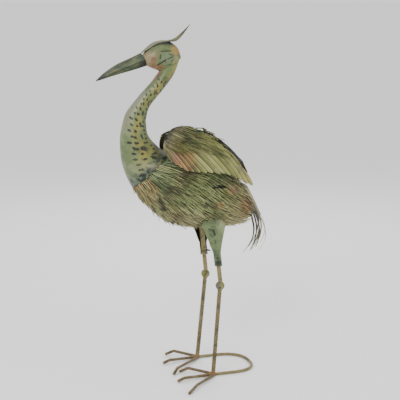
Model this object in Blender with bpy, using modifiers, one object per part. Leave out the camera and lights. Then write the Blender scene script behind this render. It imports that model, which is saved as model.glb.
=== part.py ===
# A garden crane of painted sheet metal, standing on two rod legs.
#
# Metres, +Z up. The bird looks along -Y and its left side is +X. Its middle plane is X = 0 while it
# is built, and at the end the whole bird moves so that the origin is under the middle of its box.

import math

import bmesh
import bpy
import numpy as np
from mathutils import Matrix, Vector

# Driving sizes.
FORM_HEIGHT = 0.497        # the sheet-metal bird, from its belly to the tip of its plume
BELLY_HEIGHT = 0.370       # the belly above the floor
SHEET = 0.0008             # every feather and skin sheet
NECK_WALL = 0.0012         # the neck's skirt over the breast
GAP = 0.0003               # between two pieces that touch
CORE_DEPTH = 0.008         # how far the body shell lies inside the outline of its feathers
FEATHER_LENGTH = 0.058     # a tongue of the body's feather rows
FEATHER_WIDTH = 0.0165
FEATHER_LIFT = 0.0050      # how far a tongue stands off at its tip
ROW_PITCH = 0.035          # from one feather row to the next
ROW_ROOM = 0.0016          # between the body's shell and the head of a row
ROW_SLIT = 0.5             # the share of its length at which a feather row's tongues part
TONGUE_TIP = 0.35          # the width of a tongue at its tip, as a share
LEG_ROD = 0.0110
TOE_ROD = 0.0078
HOOP_ROD = 0.0080
HOOP_FLAT = 0.0004         # worn off the hoop's underside, so that it lies flat
SOCKET_WALL = 0.0016       # the tube that takes the leg
SOCKET_RISE = 0.004        # its lower end above the lower edge of the thigh
LEG_INSERT = 0.024         # how far the leg reaches into its socket
KNEE_BALL = 0.0225
KNEE_HEIGHT = 0.230
ANKLE_SPREAD = 0.134       # between the two ankles
KNEE_SPREAD = 0.119
ANKLE_Y = 0.013
KNEE_Y = 0.0333
HIP_LEAN = math.radians(-6.4)   # the upper leg leans forward
HIP_BACK = 0.002           # and it leaves the knee ball behind the ball's middle
HOOP_STRAIGHT = 0.053      # the straight part behind each ankle
TOE_ANGLES = {"inner": -30.0, "middle": 11.7, "outer": 48.0}   # degrees to the left of straight ahead
TOE_REACH = {"inner": 0.0862, "middle": 0.1000, "outer": 0.1400}        # from the ankle to the tip
KNUCKLE_REACH = {"inner": 0.0635, "middle": 0.0820, "outer": 0.0945}
KNUCKLE_RISE = {"inner": 0.0148, "middle": 0.0090, "outer": 0.0090}     # the rod's middle there
TOE_SIDE = {"inner": -0.003, "middle": 0.001, "outer": 0.004}   # where it starts, left of the ankle
TOE_ROOM = 0.0006          # where the right foot's outer toe passes over the left foot's inner toe
TOE_BEND = 0.012
SCREW_ROD = 0.0046
SCREW_LENGTH = 0.011
SCREW_RISE = 0.010         # above the socket's lower end

# The free form is drawn in units of a thousandth of a metre for a bird of the first height.
UNIT = FORM_HEIGHT / 497.0

# Stations along neck and body: the under line (y, z), the over line (y, z) and half the width, z
# from the belly. Station 0 is the cut under the head and the last one is the rear end.
STATIONS = np.array([
    (-103, 387, -51, 417, 22), (-106, 382, -67, 377.5, 20), (-121, 363, -94.5, 341, 18),
    (-136, 347, -110, 324, 17), (-155, 327, -128, 301, 18.5), (-180, 297, -136, 274, 23),
    (-190, 277, -136, 260, 26), (-200, 233, -132, 235, 31), (-199.5, 187, -112, 210, 38),
    (-194, 159, -96, 198, 45), (-185, 134, -72, 192, 54), (-170, 104, -41, 190, 63),
    (-150, 74, -4, 184, 70), (-124, 48, 29, 171, 74), (-91, 21, 58, 153, 76),
    (-50, 5, 83, 131, 76), (-5, 0, 103, 110, 74), (42, 0, 118, 90, 68), (84, 1.5, 129, 72, 58),
    (116, 8, 136, 57, 44), (133, 18, 140, 48, 26), (138, 25, 141, 42, 15),
])
RECESS_STATION = 9.0       # the neck is solid down to here and a skirt below
CORE_STATION = 9.15        # the body's shell starts just inside the skirt
SKIRT_STATIONS = (9.5, 10.05, 10.75)   # the skirt's edge on the back, the side and the breast
FIRST_ROW_STATION = 9.6
CORE_END = 19.5            # the body's shell ends here, behind the last feathers
LAST_STATION = len(STATIONS) - 1.0
BARE_BACK = math.radians(28)           # no feathers within this angle of the back line
FEATHER_FALL = math.radians(11)        # how far a tongue turns down the flank on its way back

# The head as upright slices: y, lower z, upper z and half the width.
HEAD_SLICES = np.array([
    (-50.5, 411, 425, 9), (-57, 399, 442, 18), (-68, 390, 452, 24), (-83, 385, 458.5, 27.5),
    (-98, 386, 459.6, 28), (-113, 391, 454.8, 26), (-127, 397, 444.5, 22), (-138, 403, 432, 16),
    (-145, 410, 424, 9),
])
NECK_CUT = ((-103, 387), (-51, 417))       # the seam between neck and head
BEAK_CUT = ((-133, 400), (-147, 431))      # the seam between beak and head
BEAK_OVER = np.array([(-147, 431), (-176, 418), (-207, 404.5), (-236, 386), (-256.5, 368)])
BEAK_UNDER = np.array([(-133, 400), (-168, 390), (-205, 380.5), (-238, 371), (-256, 366)])
BEAK_WIDTHS = (13.5, 11, 8, 4.5, 0.9)      # half widths
CREST_LINE = np.array([
    (-146, 432.5), (-130, 446.5), (-115, 456.3), (-98, 461), (-77, 461.8), (-61, 466.5), (-45, 479), (-25, 497),
])
CREST_WIDTHS = (3, 9, 12, 13, 12, 9.5, 6, 0.8)
CREST_ARCHES = (3, 6, 5.4, 4.8, 4.8, 8, 7, 0.5)

# The left wing's edges, from the shoulder back to the tip: y, z and the distance from the middle plane.
WING_TOP = np.array([
    (-107, 218, 42), (-99, 234, 28), (-88, 243, 20), (-73, 250, 16), (-43, 254, 15), (4, 235.5, 15),
    (33, 216, 15), (50, 203, 15), (67, 184, 15), (84, 165, 16), (102, 145, 19), (119, 128, 25),
    (128, 109, 36),
])
WING_LOW = np.array([
    (-107, 214, 43), (-106, 203, 47), (-102, 189, 51), (-97, 180, 54), (-86, 169, 58), (-72, 159, 62),
    (-55, 152, 65), (-38, 147, 68), (-17, 144, 70), (5, 143, 71), (52, 134, 70), (76, 125, 66),
    (100, 111, 58), (124, 99, 46),
])
WING_RIM_SLOPE = math.radians(84.3)    # how steep the dome is at its upper rim
RIGHT_WING_LIFT = math.radians(4.5)    # the right wing sits turned up, further back and lower, as
RIGHT_WING_BACK = 9.0                  # a hand-made one does
RIGHT_WING_DROP = 3.0
WING_HINGE = (-100, 215)
WING_ROOTS = np.array([(-106, 204), (-105, 217), (-98, 232), (-86, 242), (-66, 250), (-34, 250), (0, 236)])
WING_TIPS = np.array([
    (-97, 182), (-71, 162), (-42, 149), (-8, 143.5), (26, 141.5), (58, 132), (90, 117.5), (124, 101.5),
])
WING_FEATHERS = 12
WING_FEATHER_TIP = 0.75    # the width of a long feather at its tip, as a share
WING_SLIT = 0.46           # the share of its length at which the long feathers part
WING_BULGE = (10.3, 9.5)   # how far the middle of the rearmost long feather bows out
COVERT_LENGTH = 0.050
COVERT_ROWS = 3
COVERT_WIDTH = 0.015
COVERT_LIFT = 0.0048
COVERT_ROOM = 0.0030       # between the wing's sheet and the head of a covert row
COVERT_STACK = 0.35        # how much higher each row's heads lie than the next row's, in lifts
COVERT_DROP = math.radians(-36)        # coverts point back and down
COVERT_HEADS = (((-86, 223), (0, 227)), ((-90, 205), (20, 205)), ((-88, 190), (40, 182)))

# The tail's middle line, from under the wing tips down to the ends of its strips.
TAIL_LINE = np.array([
    (108, 106), (122, 97), (138, 68), (152, 38), (165, 12), (172, -10), (172, -31), (165, -50), (154, -68),
])
TAIL_WIDTHS = (26, 31, 34, 34, 31, 27, 24, 21, 18)
TAIL_ARCH = 5.0
TAIL_STRIPS = 9
TAIL_SLIT = 0.52
TAIL_INNER = 24.0          # how far every other strip hangs towards the body
TAIL_INNER_CURVE = 0.35    # how soon it does so
TAIL_TIP = 0.4             # the width of a strip at its end, as a share

THIGH_TOP_FRONT = 0.0295   # from the leg's line forward to the thigh's front edge, at the top
THIGH_TOP_REAR = 0.0315
THIGH_TOP_DEPTH = 0.013    # outward
THIGH_TOP_RISE = 0.022     # the middle of its top above the belly's lowest point
THIGH_ROOM = 0.0014        # between the socket and the thigh's lower end
THIGH_BELLY_ROOM = 0.0026
THIGH_LOW_HEIGHT = 0.281
THIGH_TAPER = 0.7          # the share of its height over which it narrows to the socket
THIGH_FLARE = 1.25         # how hollow its sides are
THIGH_WRAP = math.radians(97)

RING = 20                  # points round the neck and the body
HEAD_RING = 16
HEAD_STEPS = 12
BEAK_RING = 8
BEAK_HOLLOW = 0.76         # how far the beak's sides stand out between its ridges
TUBE_RING = 12             # points round a socket tube
TURN_STEPS = 16            # straight pieces in the hoop's turn
SKIRT_SCALLOP = 0.10       # the depth of the skirt's points, in stations
TONGUE_SHARE = 0.49        # half a tongue's width where it parts, as a share of its room

COLOURS = {
    "sage": (0.23, 0.29, 0.14),
    "olive": (0.27, 0.25, 0.10),
    "tan": (0.38, 0.30, 0.14),
    "teal": (0.08, 0.18, 0.13),
    "moss": (0.20, 0.22, 0.09),
    "rust": (0.20, 0.12, 0.06),
    "rod": (0.25, 0.20, 0.10),
    "steel": (0.30, 0.30, 0.30),
}


def clear_scene():
    for item in list(bpy.data.objects):
        bpy.data.objects.remove(item, do_unlink=True)


def material(name):
    """One painted-metal material for each colour."""
    known = bpy.data.materials.get(name)
    if known:
        return known
    mat = bpy.data.materials.new(name)
    mat.use_nodes = True
    shader = mat.node_tree.nodes["Principled BSDF"]
    shader.inputs["Base Color"].default_value = (*COLOURS[name], 1.0)
    shader.inputs["Roughness"].default_value = 0.5
    shader.inputs["Metallic"].default_value = 1.0 if name == "steel" else 0.3
    return mat


def piece(name, bm, colour):
    """A mesh object for one piece, its faces outward, in the crane's collection."""
    bmesh.ops.recalc_face_normals(bm, faces=bm.faces[:])
    mesh = bpy.data.meshes.new(name)
    bm.to_mesh(mesh)
    bm.free()
    mesh.materials.append(material(colour))
    mesh.shade_smooth()
    mesh.set_sharp_from_angle(angle=math.radians(40))
    obj = bpy.data.objects.new(name, mesh)
    CRANE.objects.link(obj)
    obj.parent = STAND
    return obj


def along(points, t):
    """A smooth curve through rows of numbers, read at t, counted in rows."""
    points = np.asarray(points, float)
    last = len(points) - 1
    i = int(min(max(math.floor(t), 0), last - 1))
    f = t - i
    b, c = points[i], points[i + 1]
    a = points[i - 1] if i > 0 else 2 * b - c
    d = points[i + 2] if i + 2 <= last else 2 * c - b
    return 0.5 * (2 * b + (c - a) * f + (2 * a - 5 * b + 4 * c - d) * f ** 2 + (3 * b - a - 3 * c + d) * f ** 3)


def form(x, y, z):
    """A point of the free form, given in its units with z from the belly."""
    return Vector((x * UNIT, y * UNIT, BELLY_HEIGHT + z * UNIT))


def skin_point(t, angle, depth=0.0):
    """A point on the neck and body at station t, the angle counted from the back line over the left
    side, and depth metres inside the outline."""
    uy, uz, oy, oz, half = along(STATIONS, t)
    middle = form(0, (uy + oy) / 2, (uz + oz) / 2)
    rise = form(0, oy, oz) - middle
    rise = rise.normalized() * max(rise.length - depth, 0.001)
    side = max(half * UNIT - depth, 0.001)
    return middle + rise * math.cos(angle) + Vector((side * math.sin(angle), 0, 0))


def flank_lengths():
    """The distance along the flank's middle line from the neck's skirt to each fine station."""
    stations = np.linspace(FIRST_ROW_STATION, LAST_STATION, 120)
    points = [skin_point(t, math.pi) + skin_point(t, 0.0) for t in stations]
    steps = [0.0] + [(b - a).length / 2 for a, b in zip(points, points[1:])]
    return np.cumsum(steps), stations


def loft(rings):
    """Closed rings of equal counts joined by faces, with a cap on each end."""
    bm = bmesh.new()
    rows = [[bm.verts.new(p) for p in ring] for ring in rings]
    count = len(rows[0])
    for a, b in zip(rows, rows[1:]):
        for i in range(count):
            j = (i + 1) % count
            bm.faces.new((a[i], a[j], b[j], b[i]))
    bm.faces.new(rows[0])
    bm.faces.new(rows[-1])
    return bm


def trim(bm, point, normal):
    """Cuts a closed mesh by a plane, drops what lies on the normal's side and closes the cut."""
    geometry = bm.verts[:] + bm.edges[:] + bm.faces[:]
    cut = bmesh.ops.bisect_plane(bm, geom=geometry, plane_co=point, plane_no=normal, clear_outer=True)
    edges = [e for e in cut["geom_cut"] if isinstance(e, bmesh.types.BMEdge)]
    bmesh.ops.holes_fill(bm, edges=edges)
    bmesh.ops.remove_doubles(bm, verts=bm.verts[:], dist=1e-6)


def comb(name, place, tongues, levels, slit, tip_share, colour):
    """A thin sheet whose far end is slit into tongues. place(across, down) gives its inner face, with
    across and down from 0 to 1; levels are the values of down that get points, and the tongues part
    after the level slit and narrow to tip_share of their width."""
    bm = bmesh.new()
    band = [s for s in levels if s <= slit]
    free = [s for s in levels if s > slit]
    rows = [[bm.verts.new(place(j / tongues, s)) for j in range(tongues + 1)] for s in band]
    for a, b in zip(rows, rows[1:]):
        for j in range(tongues):
            bm.faces.new((a[j], a[j + 1], b[j + 1], b[j]))
    for j in range(tongues):
        left, right = rows[-1][j], rows[-1][j + 1]
        for s in free:
            share = 1.0 - (1.0 - tip_share) * ((s - slit) / (1.0 - slit)) ** 1.5
            middle = (j + 0.5) / tongues
            half = TONGUE_SHARE * share / tongues
            low_left = bm.verts.new(place(middle - half, s))
            low_right = bm.verts.new(place(middle + half, s))
            bm.faces.new((left, right, low_right, low_left))
            left, right = low_left, low_right
    mesh = bpy.data.meshes.new(name)
    bm.to_mesh(mesh)
    bm.free()
    mesh.materials.append(material(colour))
    obj = bpy.data.objects.new(name, mesh)
    CRANE.objects.link(obj)
    obj.parent = STAND
    return obj


def thicken(obj, outward):
    """Gives an open sheet its thickness on the side that outward(middle of a face) points to."""
    mesh = obj.data
    face = mesh.polygons[len(mesh.polygons) // 2]
    if face.normal.dot(outward(face.center)) < 0:
        mesh.flip_normals()
    shell = obj.modifiers.new("sheet", "SOLIDIFY")
    shell.thickness = SHEET
    shell.offset = 1.0
    return obj


def rod(name, points, diameter):
    """A round rod through points, as a mesh whose end caps are welded."""
    curve = bpy.data.curves.new(name, "CURVE")
    curve.dimensions = "3D"
    curve.bevel_depth = diameter / 2
    curve.bevel_resolution = 2
    curve.use_fill_caps = True
    line = curve.splines.new("POLY")
    line.points.add(len(points) - 1)
    for spot, place in zip(line.points, points):
        spot.co = (*place, 1.0)
    drawn = bpy.data.objects.new(name + "_line", curve)
    bpy.context.scene.collection.objects.link(drawn)
    solid = bpy.data.meshes.new_from_object(drawn.evaluated_get(bpy.context.evaluated_depsgraph_get()))
    bm = bmesh.new()
    bm.from_mesh(solid)
    bmesh.ops.remove_doubles(bm, verts=bm.verts[:], dist=1e-5)
    bpy.data.objects.remove(drawn)
    bpy.data.meshes.remove(solid)
    return bm


def cut_away(obj, cutter):
    """Takes the cutter's shape out of the object."""
    cutter.hide_render = True
    cutter.display_type = "WIRE"
    hole = obj.modifiers.new("fit", "BOOLEAN")
    hole.object = cutter
    hole.solver = "EXACT"


def bend(a, corner, b, radius, steps=4):
    """The points of a round bend of a rod at a corner between two straight runs."""
    to_a, to_b = (a - corner).normalized(), (b - corner).normalized()
    half = to_a.angle(to_b) / 2
    back = radius / math.tan(half)
    start, end = corner + to_a * back, corner + to_b * back
    out = []
    for i in range(steps + 1):
        f = i / steps
        out.append(start * (1 - f) ** 2 + corner * 2 * f * (1 - f) + end * f ** 2)
    return out


def make_neck():
    """A solid neck whose lower end is a thin skirt with a scalloped edge over the breast."""
    angles = [2 * math.pi * i / RING for i in range(RING)]

    def edge(i):
        back, side, front = SKIRT_STATIONS
        c = math.cos(angles[i])
        base = side + (back - side) * c if c > 0 else side + (side - front) * c
        return base + (SKIRT_SCALLOP if i % 2 else 0.0)

    stations = [0.0, 0.5, 1.0, 1.6, 2.2, 3.0, 3.7, 4.4, 5.1, 5.8, 6.5, 7.2, 8.0, RECESS_STATION]
    rings = [[skin_point(t, a) for a in angles] for t in stations]
    for share in (0.5, 1.0):
        rings.append([
            skin_point(RECESS_STATION + share * (edge(i) - RECESS_STATION), a) for i, a in enumerate(angles)
        ])
    rings.append([skin_point(edge(i), a, NECK_WALL) for i, a in enumerate(angles)])
    rings.append([skin_point(RECESS_STATION, a, NECK_WALL) for a in angles])
    return piece("neck", loft(rings), "sage")


def make_body():
    """The egg-shaped shell under the feathers."""
    angles = [2 * math.pi * i / RING for i in range(RING)]
    stations = [CORE_STATION, *np.arange(10.0, CORE_END - 0.3, 0.8), CORE_END]
    rings = [[skin_point(t, a, CORE_DEPTH) for a in angles] for t in stations]
    return piece("body", loft(rings), "moss")


def make_feather_rows():
    """Slit rows wrapped round the body from one side of the back, under the belly, to the other. Each
    row's tongues lie over the head of the next row."""
    lengths, stations = flank_lengths()
    room = lengths[-1] - FEATHER_LENGTH
    rows = int(room / ROW_PITCH) + 1
    pitch = room / (rows - 1)
    span = 2 * (math.pi - BARE_BACK)
    for row in range(rows):
        start = row * pitch
        middle = np.interp(start + FEATHER_LENGTH / 2, lengths, stations)
        ring = [skin_point(middle, BARE_BACK + span * i / 24) for i in range(25)]
        girth = sum((b - a).length for a, b in zip(ring, ring[1:]))
        tongues = max(6, round(girth / FEATHER_WIDTH))

        def place(across, down):
            t = float(np.interp(start + down * FEATHER_LENGTH, lengths, stations))
            angle = BARE_BACK + span * across
            angle += FEATHER_FALL * down * math.sin(angle)
            depth = CORE_DEPTH - ROW_ROOM - FEATHER_LIFT * down
            return skin_point(t, angle, depth)

        name = f"breast_feathers_{row + 1}" if row < 2 else f"flank_feathers_{row - 1}"
        levels = (0.0, ROW_SLIT, 1.0) if row < rows - 1 else (0.0, 0.3, ROW_SLIT, 0.66, 0.8, 0.9, 1.0)
        obj = comb(name, place, tongues, levels, ROW_SLIT, TONGUE_TIP, "tan" if row < 2 else "sage")
        inside = skin_point(float(middle), 0.0) + skin_point(float(middle), math.pi)
        thicken(obj, lambda spot, c=inside / 2: spot - c)


def plane_of(cut):
    """A point and a unit normal, in the bird's middle plane, of a seam from one point to another."""
    a, b = form(0, *cut[0]), form(0, *cut[1])
    run = (b - a).normalized()
    return a, Vector((0, run.z, -run.y))


def make_head():
    """An egg-shaped head, cut where the neck and the beak meet it."""
    rings = []
    for i in range(HEAD_STEPS + 1):
        y, low, high, half = along(HEAD_SLICES, i * (len(HEAD_SLICES) - 1) / HEAD_STEPS)
        ring = []
        for k in range(HEAD_RING):
            angle = 2 * math.pi * k / HEAD_RING
            ring.append(form(half * math.sin(angle), y, (low + high) / 2 + (high - low) / 2 * math.cos(angle)))
        rings.append(ring)
    bm = loft(rings)
    point, normal = plane_of(NECK_CUT)
    trim(bm, point - normal * GAP, normal)
    point, normal = plane_of(BEAK_CUT)
    trim(bm, point + normal * GAP, -normal)
    return piece("head", bm, "tan")


def make_beak():
    """A folded cone with a ridge along the top, the bottom and each side."""
    rings = []
    for i, half in enumerate(BEAK_WIDTHS):
        over, under = BEAK_OVER[i], BEAK_UNDER[i]
        middle = (over + under) / 2
        ring = []
        for k in range(BEAK_RING):
            angle = 2 * math.pi * k / BEAK_RING
            bulge = BEAK_HOLLOW if k % 2 else 1.0
            rise = math.cos(angle) * bulge
            y, z = middle + (over - middle) * rise
            ring.append(form(half * math.sin(angle) * bulge, y, z))
        rings.append(ring)
    return piece("beak", loft(rings), "teal")


def make_crest():
    """A pointed strip that lies arched over the crown and sticks out behind as a plume."""
    last = len(CREST_LINE) - 1

    def place(across, down):
        y, z = along(CREST_LINE, down * last)
        half, arch = along(np.column_stack((CREST_WIDTHS, CREST_ARCHES)), down * last)
        side = 2 * across - 1
        return form(half * side, y, z - arch * side ** 2)

    levels = [i / 9 for i in range(10)]
    obj = comb("crest", place, 4, levels, 1.0, 1.0, "olive")
    return thicken(obj, lambda spot: Vector((0, -0.3, 1)))


def nearest(y, z, line):
    """The distance from a point of the side view to a smooth line, and the line's x near there."""
    fine = np.array([along(line, t) for t in np.linspace(0, len(line) - 1, 80)])
    gaps = np.hypot(fine[:, 0] - y, fine[:, 1] - z)
    weights = (gaps + 1.0) ** -3.0
    return float(gaps.min()), float((fine[:, 2] * weights).sum() / weights.sum())


def wing_x(y, z):
    """How far the left wing's dome stands from the middle plane at a point of the side view."""
    to_top, top_x = nearest(y, z, WING_TOP)
    to_low, low_x = nearest(y, z, WING_LOW)
    rise = math.sin(WING_RIM_SLOPE) * to_low / (to_top + to_low + 1e-6)
    return top_x + (low_x - top_x) * math.sqrt(1.0 - rise ** 2)


def wing_point(side, y, z, lift):
    """A point on a wing, lift metres above its dome."""
    x = wing_x(y, z)
    step = 2.0
    slope = Vector((1.0, -(wing_x(y + step, z) - wing_x(y - step, z)) / (2 * step),
                    -(wing_x(y, z + step) - wing_x(y, z - step)) / (2 * step)))
    slope.y = max(-1.5, min(1.5, slope.y))
    slope.z = max(-2.0, min(2.0, slope.z))
    place = form(x, y, z) + slope.normalized() * lift
    if side < 0:
        hinge = form(0, *WING_HINGE)
        turn = Matrix.Rotation(RIGHT_WING_LIFT, 4, "X")
        place = hinge + turn @ (place - hinge) + Vector((0, RIGHT_WING_BACK, -RIGHT_WING_DROP)) * UNIT
        place.x = -place.x
    return place


def make_wing(name, side):
    """A domed sheet whose lower edge is cut into long feathers, with rows of coverts over it."""
    def base(across, down):
        root = along(WING_ROOTS, across * (len(WING_ROOTS) - 1))
        tip = along(WING_TIPS, across * (len(WING_TIPS) - 1))
        bow = np.array(WING_BULGE) * 4 * down * (1 - down) * across ** 3
        y, z = root + (tip - root) * down + bow
        return wing_point(side, y, z, 0.0)

    levels = (0.0, 0.12, 0.28, WING_SLIT, 0.64, 0.82, 1.0)
    obj = comb(name, base, WING_FEATHERS, levels, WING_SLIT, WING_FEATHER_TIP, "olive")
    thicken(obj, lambda spot: Vector((side, 0, 0.6)))
    for row, (front, rear) in enumerate(COVERT_HEADS):
        front, rear = np.array(front, float), np.array(rear, float)
        width = np.linalg.norm(rear - front) * UNIT
        tongues = max(4, round(width * abs(math.cos(COVERT_DROP)) / COVERT_WIDTH))
        lean = np.array((math.cos(COVERT_DROP), math.sin(COVERT_DROP))) * COVERT_LENGTH / UNIT

        def covert(across, down):
            y, z = front + (rear - front) * across + lean * down
            stack = COVERT_STACK * (COVERT_ROWS - 1 - row) + down
            return wing_point(side, y, z, SHEET + COVERT_ROOM + COVERT_LIFT * stack)

        levels = (0.0, ROW_SLIT, 1.0)
        obj = comb(f"{name}_coverts_{row + 1}", covert, tongues, levels, ROW_SLIT, TONGUE_TIP, "sage")
        thicken(obj, lambda spot: Vector((side, 0, 0.6)))


def make_tail():
    """A cover sheet from under the wing tips, slit below into hanging strips in two layers."""
    last = len(TAIL_LINE) - 1

    def place(across, down):
        y, z = along(TAIL_LINE, down * last)
        half = along(np.array(TAIL_WIDTHS).reshape(-1, 1), down * last)[0]
        side = 2 * across - 1
        strip = min(int(across * TAIL_STRIPS), TAIL_STRIPS - 1)
        hang = max(0.0, (down - TAIL_SLIT) / (1 - TAIL_SLIT)) if strip % 2 else 0.0
        y -= TAIL_ARCH * side ** 2 + TAIL_INNER * hang ** TAIL_INNER_CURVE
        return form(half * side, y, z - TAIL_ARCH * side ** 2)

    levels = (0.0, 0.14, 0.27, 0.40, TAIL_SLIT, 0.65, 0.77, 0.88, 1.0)
    obj = comb("tail", place, TAIL_STRIPS, levels, TAIL_SLIT, TAIL_TIP, "rust")
    return thicken(obj, lambda spot: Vector((0, 1, 0.3)))


def belly_above(x, y):
    """The height of the feathered belly over a point of the floor."""
    best, height = 1e9, BELLY_HEIGHT
    for t in np.arange(11.0, LAST_STATION, 0.25):
        for angle in np.linspace(math.pi / 2, math.pi, 25):
            p = skin_point(t, angle)
            gap = math.hypot(p.x - abs(x), p.y - y)
            if gap < best:
                best, height = gap, p.z
    return height


def leg_lines(side):
    """The ankle, the knee, the place where the upper leg's middle line passes the knee and its direction."""
    ankle = Vector((side * ANKLE_SPREAD / 2, ANKLE_Y, 0.0))
    knee = Vector((side * KNEE_SPREAD / 2, KNEE_Y, KNEE_HEIGHT))
    inward = (knee.x - ankle.x) / KNEE_HEIGHT
    up = Vector((inward, math.tan(HIP_LEAN), 1.0)).normalized()
    return ankle, knee, knee + Vector((0, HIP_BACK, 0)), up


def make_leg(name, side):
    """A shank and an upper rod on a knee ball, in a socket tube with a clamp screw, and half a cone
    of sheet round its outer side."""
    ankle, knee, foot, up = leg_lines(side)
    shank_way = (knee - ankle).normalized()
    socket_low = foot + up * ((THIGH_LOW_HEIGHT + SOCKET_RISE - KNEE_HEIGHT) / up.z)
    hip = foot + up * ((BELLY_HEIGHT - KNEE_HEIGHT) / up.z)
    bore = LEG_ROD / 2 + GAP
    rim = bore + SOCKET_WALL
    ceiling = min(belly_above(hip.x + i * rim, hip.y + j * rim) for i in (-1, 0, 1) for j in (-1, 0, 1))
    socket_top = socket_low + up * ((ceiling - 2 * ROW_ROOM - socket_low.z) / up.z)

    ball = bmesh.new()
    bmesh.ops.create_uvsphere(ball, u_segments=14, v_segments=8, radius=KNEE_BALL / 2)
    bmesh.ops.translate(ball, verts=ball.verts[:], vec=knee)
    piece(f"knee_ball_{name}", ball, "olive")

    clearance = bmesh.new()
    bmesh.ops.create_uvsphere(clearance, u_segments=14, v_segments=8, radius=KNEE_BALL / 2 + GAP)
    bmesh.ops.translate(clearance, verts=clearance.verts[:], vec=knee)
    mesh = bpy.data.meshes.new(f"knee_room_{name}")
    clearance.to_mesh(mesh)
    clearance.free()
    room = bpy.data.objects.new(f"knee_room_{name}", mesh)
    CUTTERS.objects.link(room)
    room.parent = STAND

    bm = rod(f"shank_{name}", [ankle - shank_way * LEG_ROD, knee], LEG_ROD)
    trim(bm, Vector((0, 0, 0)), Vector((0, 0, -1)))
    cut_away(piece(f"shank_{name}", bm, "rod"), room)

    bm = rod(f"upper_leg_{name}", [foot, socket_low + up * LEG_INSERT], LEG_ROD)
    cut_away(piece(f"upper_leg_{name}", bm, "rod"), room)

    across = up.orthogonal().normalized()
    other = up.cross(across)
    rings = []
    for radius, spot in ((bore, socket_low), (rim, socket_low), (rim, socket_top), (bore, socket_top)):
        turns = [2 * math.pi * k / TUBE_RING for k in range(TUBE_RING)]
        rings.append([spot + (across * math.cos(a) + other * math.sin(a)) * radius for a in turns])
    bm = bmesh.new()
    rows = [[bm.verts.new(p) for p in ring] for ring in rings]
    for a, b in zip(rows, rows[1:] + rows[:1]):
        for i in range(TUBE_RING):
            j = (i + 1) % TUBE_RING
            bm.faces.new((a[i], a[j], b[j], b[i]))
    piece(f"socket_{name}", bm, "tan")

    out = Vector((-side * 0.75, 0.66, 0.0)).normalized()
    start = socket_low + up * SCREW_RISE + out * (rim + GAP)
    bm = rod(f"clamp_screw_{name}", [start, start + out * SCREW_LENGTH], SCREW_ROD)
    piece(f"clamp_screw_{name}", bm, "steel")

    def place(round_it, down):
        angle = THIGH_WRAP * (2 * round_it - 1)
        snug = rim + THIGH_ROOM
        wide = THIGH_TOP_REAR if angle > 0 else THIGH_TOP_FRONT
        flare = max(0.0, 1 - down / THIGH_TAPER) ** THIGH_FLARE
        half = snug + (wide - snug) * flare
        depth = snug + (THIGH_TOP_DEPTH - snug) * flare
        top = foot + up * ((BELLY_HEIGHT + THIGH_TOP_RISE - KNEE_HEIGHT) / up.z)
        low = foot + up * ((THIGH_LOW_HEIGHT - KNEE_HEIGHT) / up.z)
        middle = top + (low - top) * down
        x = middle.x + side * depth * math.cos(angle)
        y = middle.y + half * math.sin(angle)
        z_top = belly_above(x, y) - THIGH_BELLY_ROOM
        return Vector((x, y, z_top + (THIGH_LOW_HEIGHT - z_top) * down))

    obj = comb(f"thigh_{name}", place, 10, (0.0, 0.22, 0.45, 0.7, 1.0), 1.0, 1.0, "sage")
    thicken(obj, lambda spot: Vector((side, 0, 0)))


def toe_way(toe):
    """The direction of a toe on the floor; it is the same on both feet."""
    turn = math.radians(TOE_ANGLES[toe])
    return Vector((math.sin(turn), -math.cos(turn), 0.0))


def toe_height(toe, reach):
    """The height of a toe's middle line at a distance from the ankle, before its bend is rounded."""
    floor = TOE_ROD / 2
    spots = (0.0, KNUCKLE_REACH[toe], TOE_REACH[toe])
    return float(np.interp(reach, spots, (floor, KNUCKLE_RISE[toe], floor)))


def toe_crossing():
    """How far from their own ankles the left foot's inner toe and the right foot's outer toe cross."""
    inner, outer = toe_way("inner"), toe_way("outer")
    cross = outer.x * inner.y - outer.y * inner.x
    return -ANKLE_SPREAD * outer.y / cross, ANKLE_SPREAD * inner.y / cross


def make_toes(name, side):
    """Three bent toes, each trimmed along the lines halfway to its neighbours at the ankle. Both feet
    point the same way, so the right foot's outer toe passes over the tip of the left foot's inner one."""
    ankle = Vector((side * ANKLE_SPREAD / 2, ANKLE_Y, 0.0))
    up = Vector((0, 0, 1))
    angles = list(TOE_ANGLES.values())
    inner_reach, outer_reach = toe_crossing()
    for i, (toe, degrees) in enumerate(TOE_ANGLES.items()):
        way = toe_way(toe)
        reach, rise = KNUCKLE_REACH[toe], KNUCKLE_RISE[toe]
        if toe == "outer" and side < 0:
            reach = outer_reach
            rise = toe_height("inner", inner_reach) + TOE_ROD + TOE_ROOM
        start = ankle + Vector((-way.y, way.x, 0.0)) * TOE_SIDE[toe] + up * (TOE_ROD / 2)
        knuckle = ankle + way * reach + up * rise
        tip = ankle + way * TOE_REACH[toe] + up * (TOE_ROD / 2)
        points = [start, *bend(start, knuckle, tip, TOE_BEND), tip]
        bm = rod(f"toe_{name}_{toe}", points, TOE_ROD)
        trim(bm, ankle + way * (LEG_ROD / 2 + GAP), -way)
        for other in (i - 1, i + 1):
            if not 0 <= other < len(angles):
                continue
            half = math.radians((degrees + angles[other]) / 2)
            line = Vector((math.sin(half), -math.cos(half), 0.0))
            normal = Vector((line.y, -line.x, 0.0))
            if normal.dot(way) > 0:
                normal = -normal
            trim(bm, ankle - normal * GAP / 2, normal)
        trim(bm, Vector((0, 0, 0)), -up)
        piece(f"toe_{name}_{toe}", bm, "rod")


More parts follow.
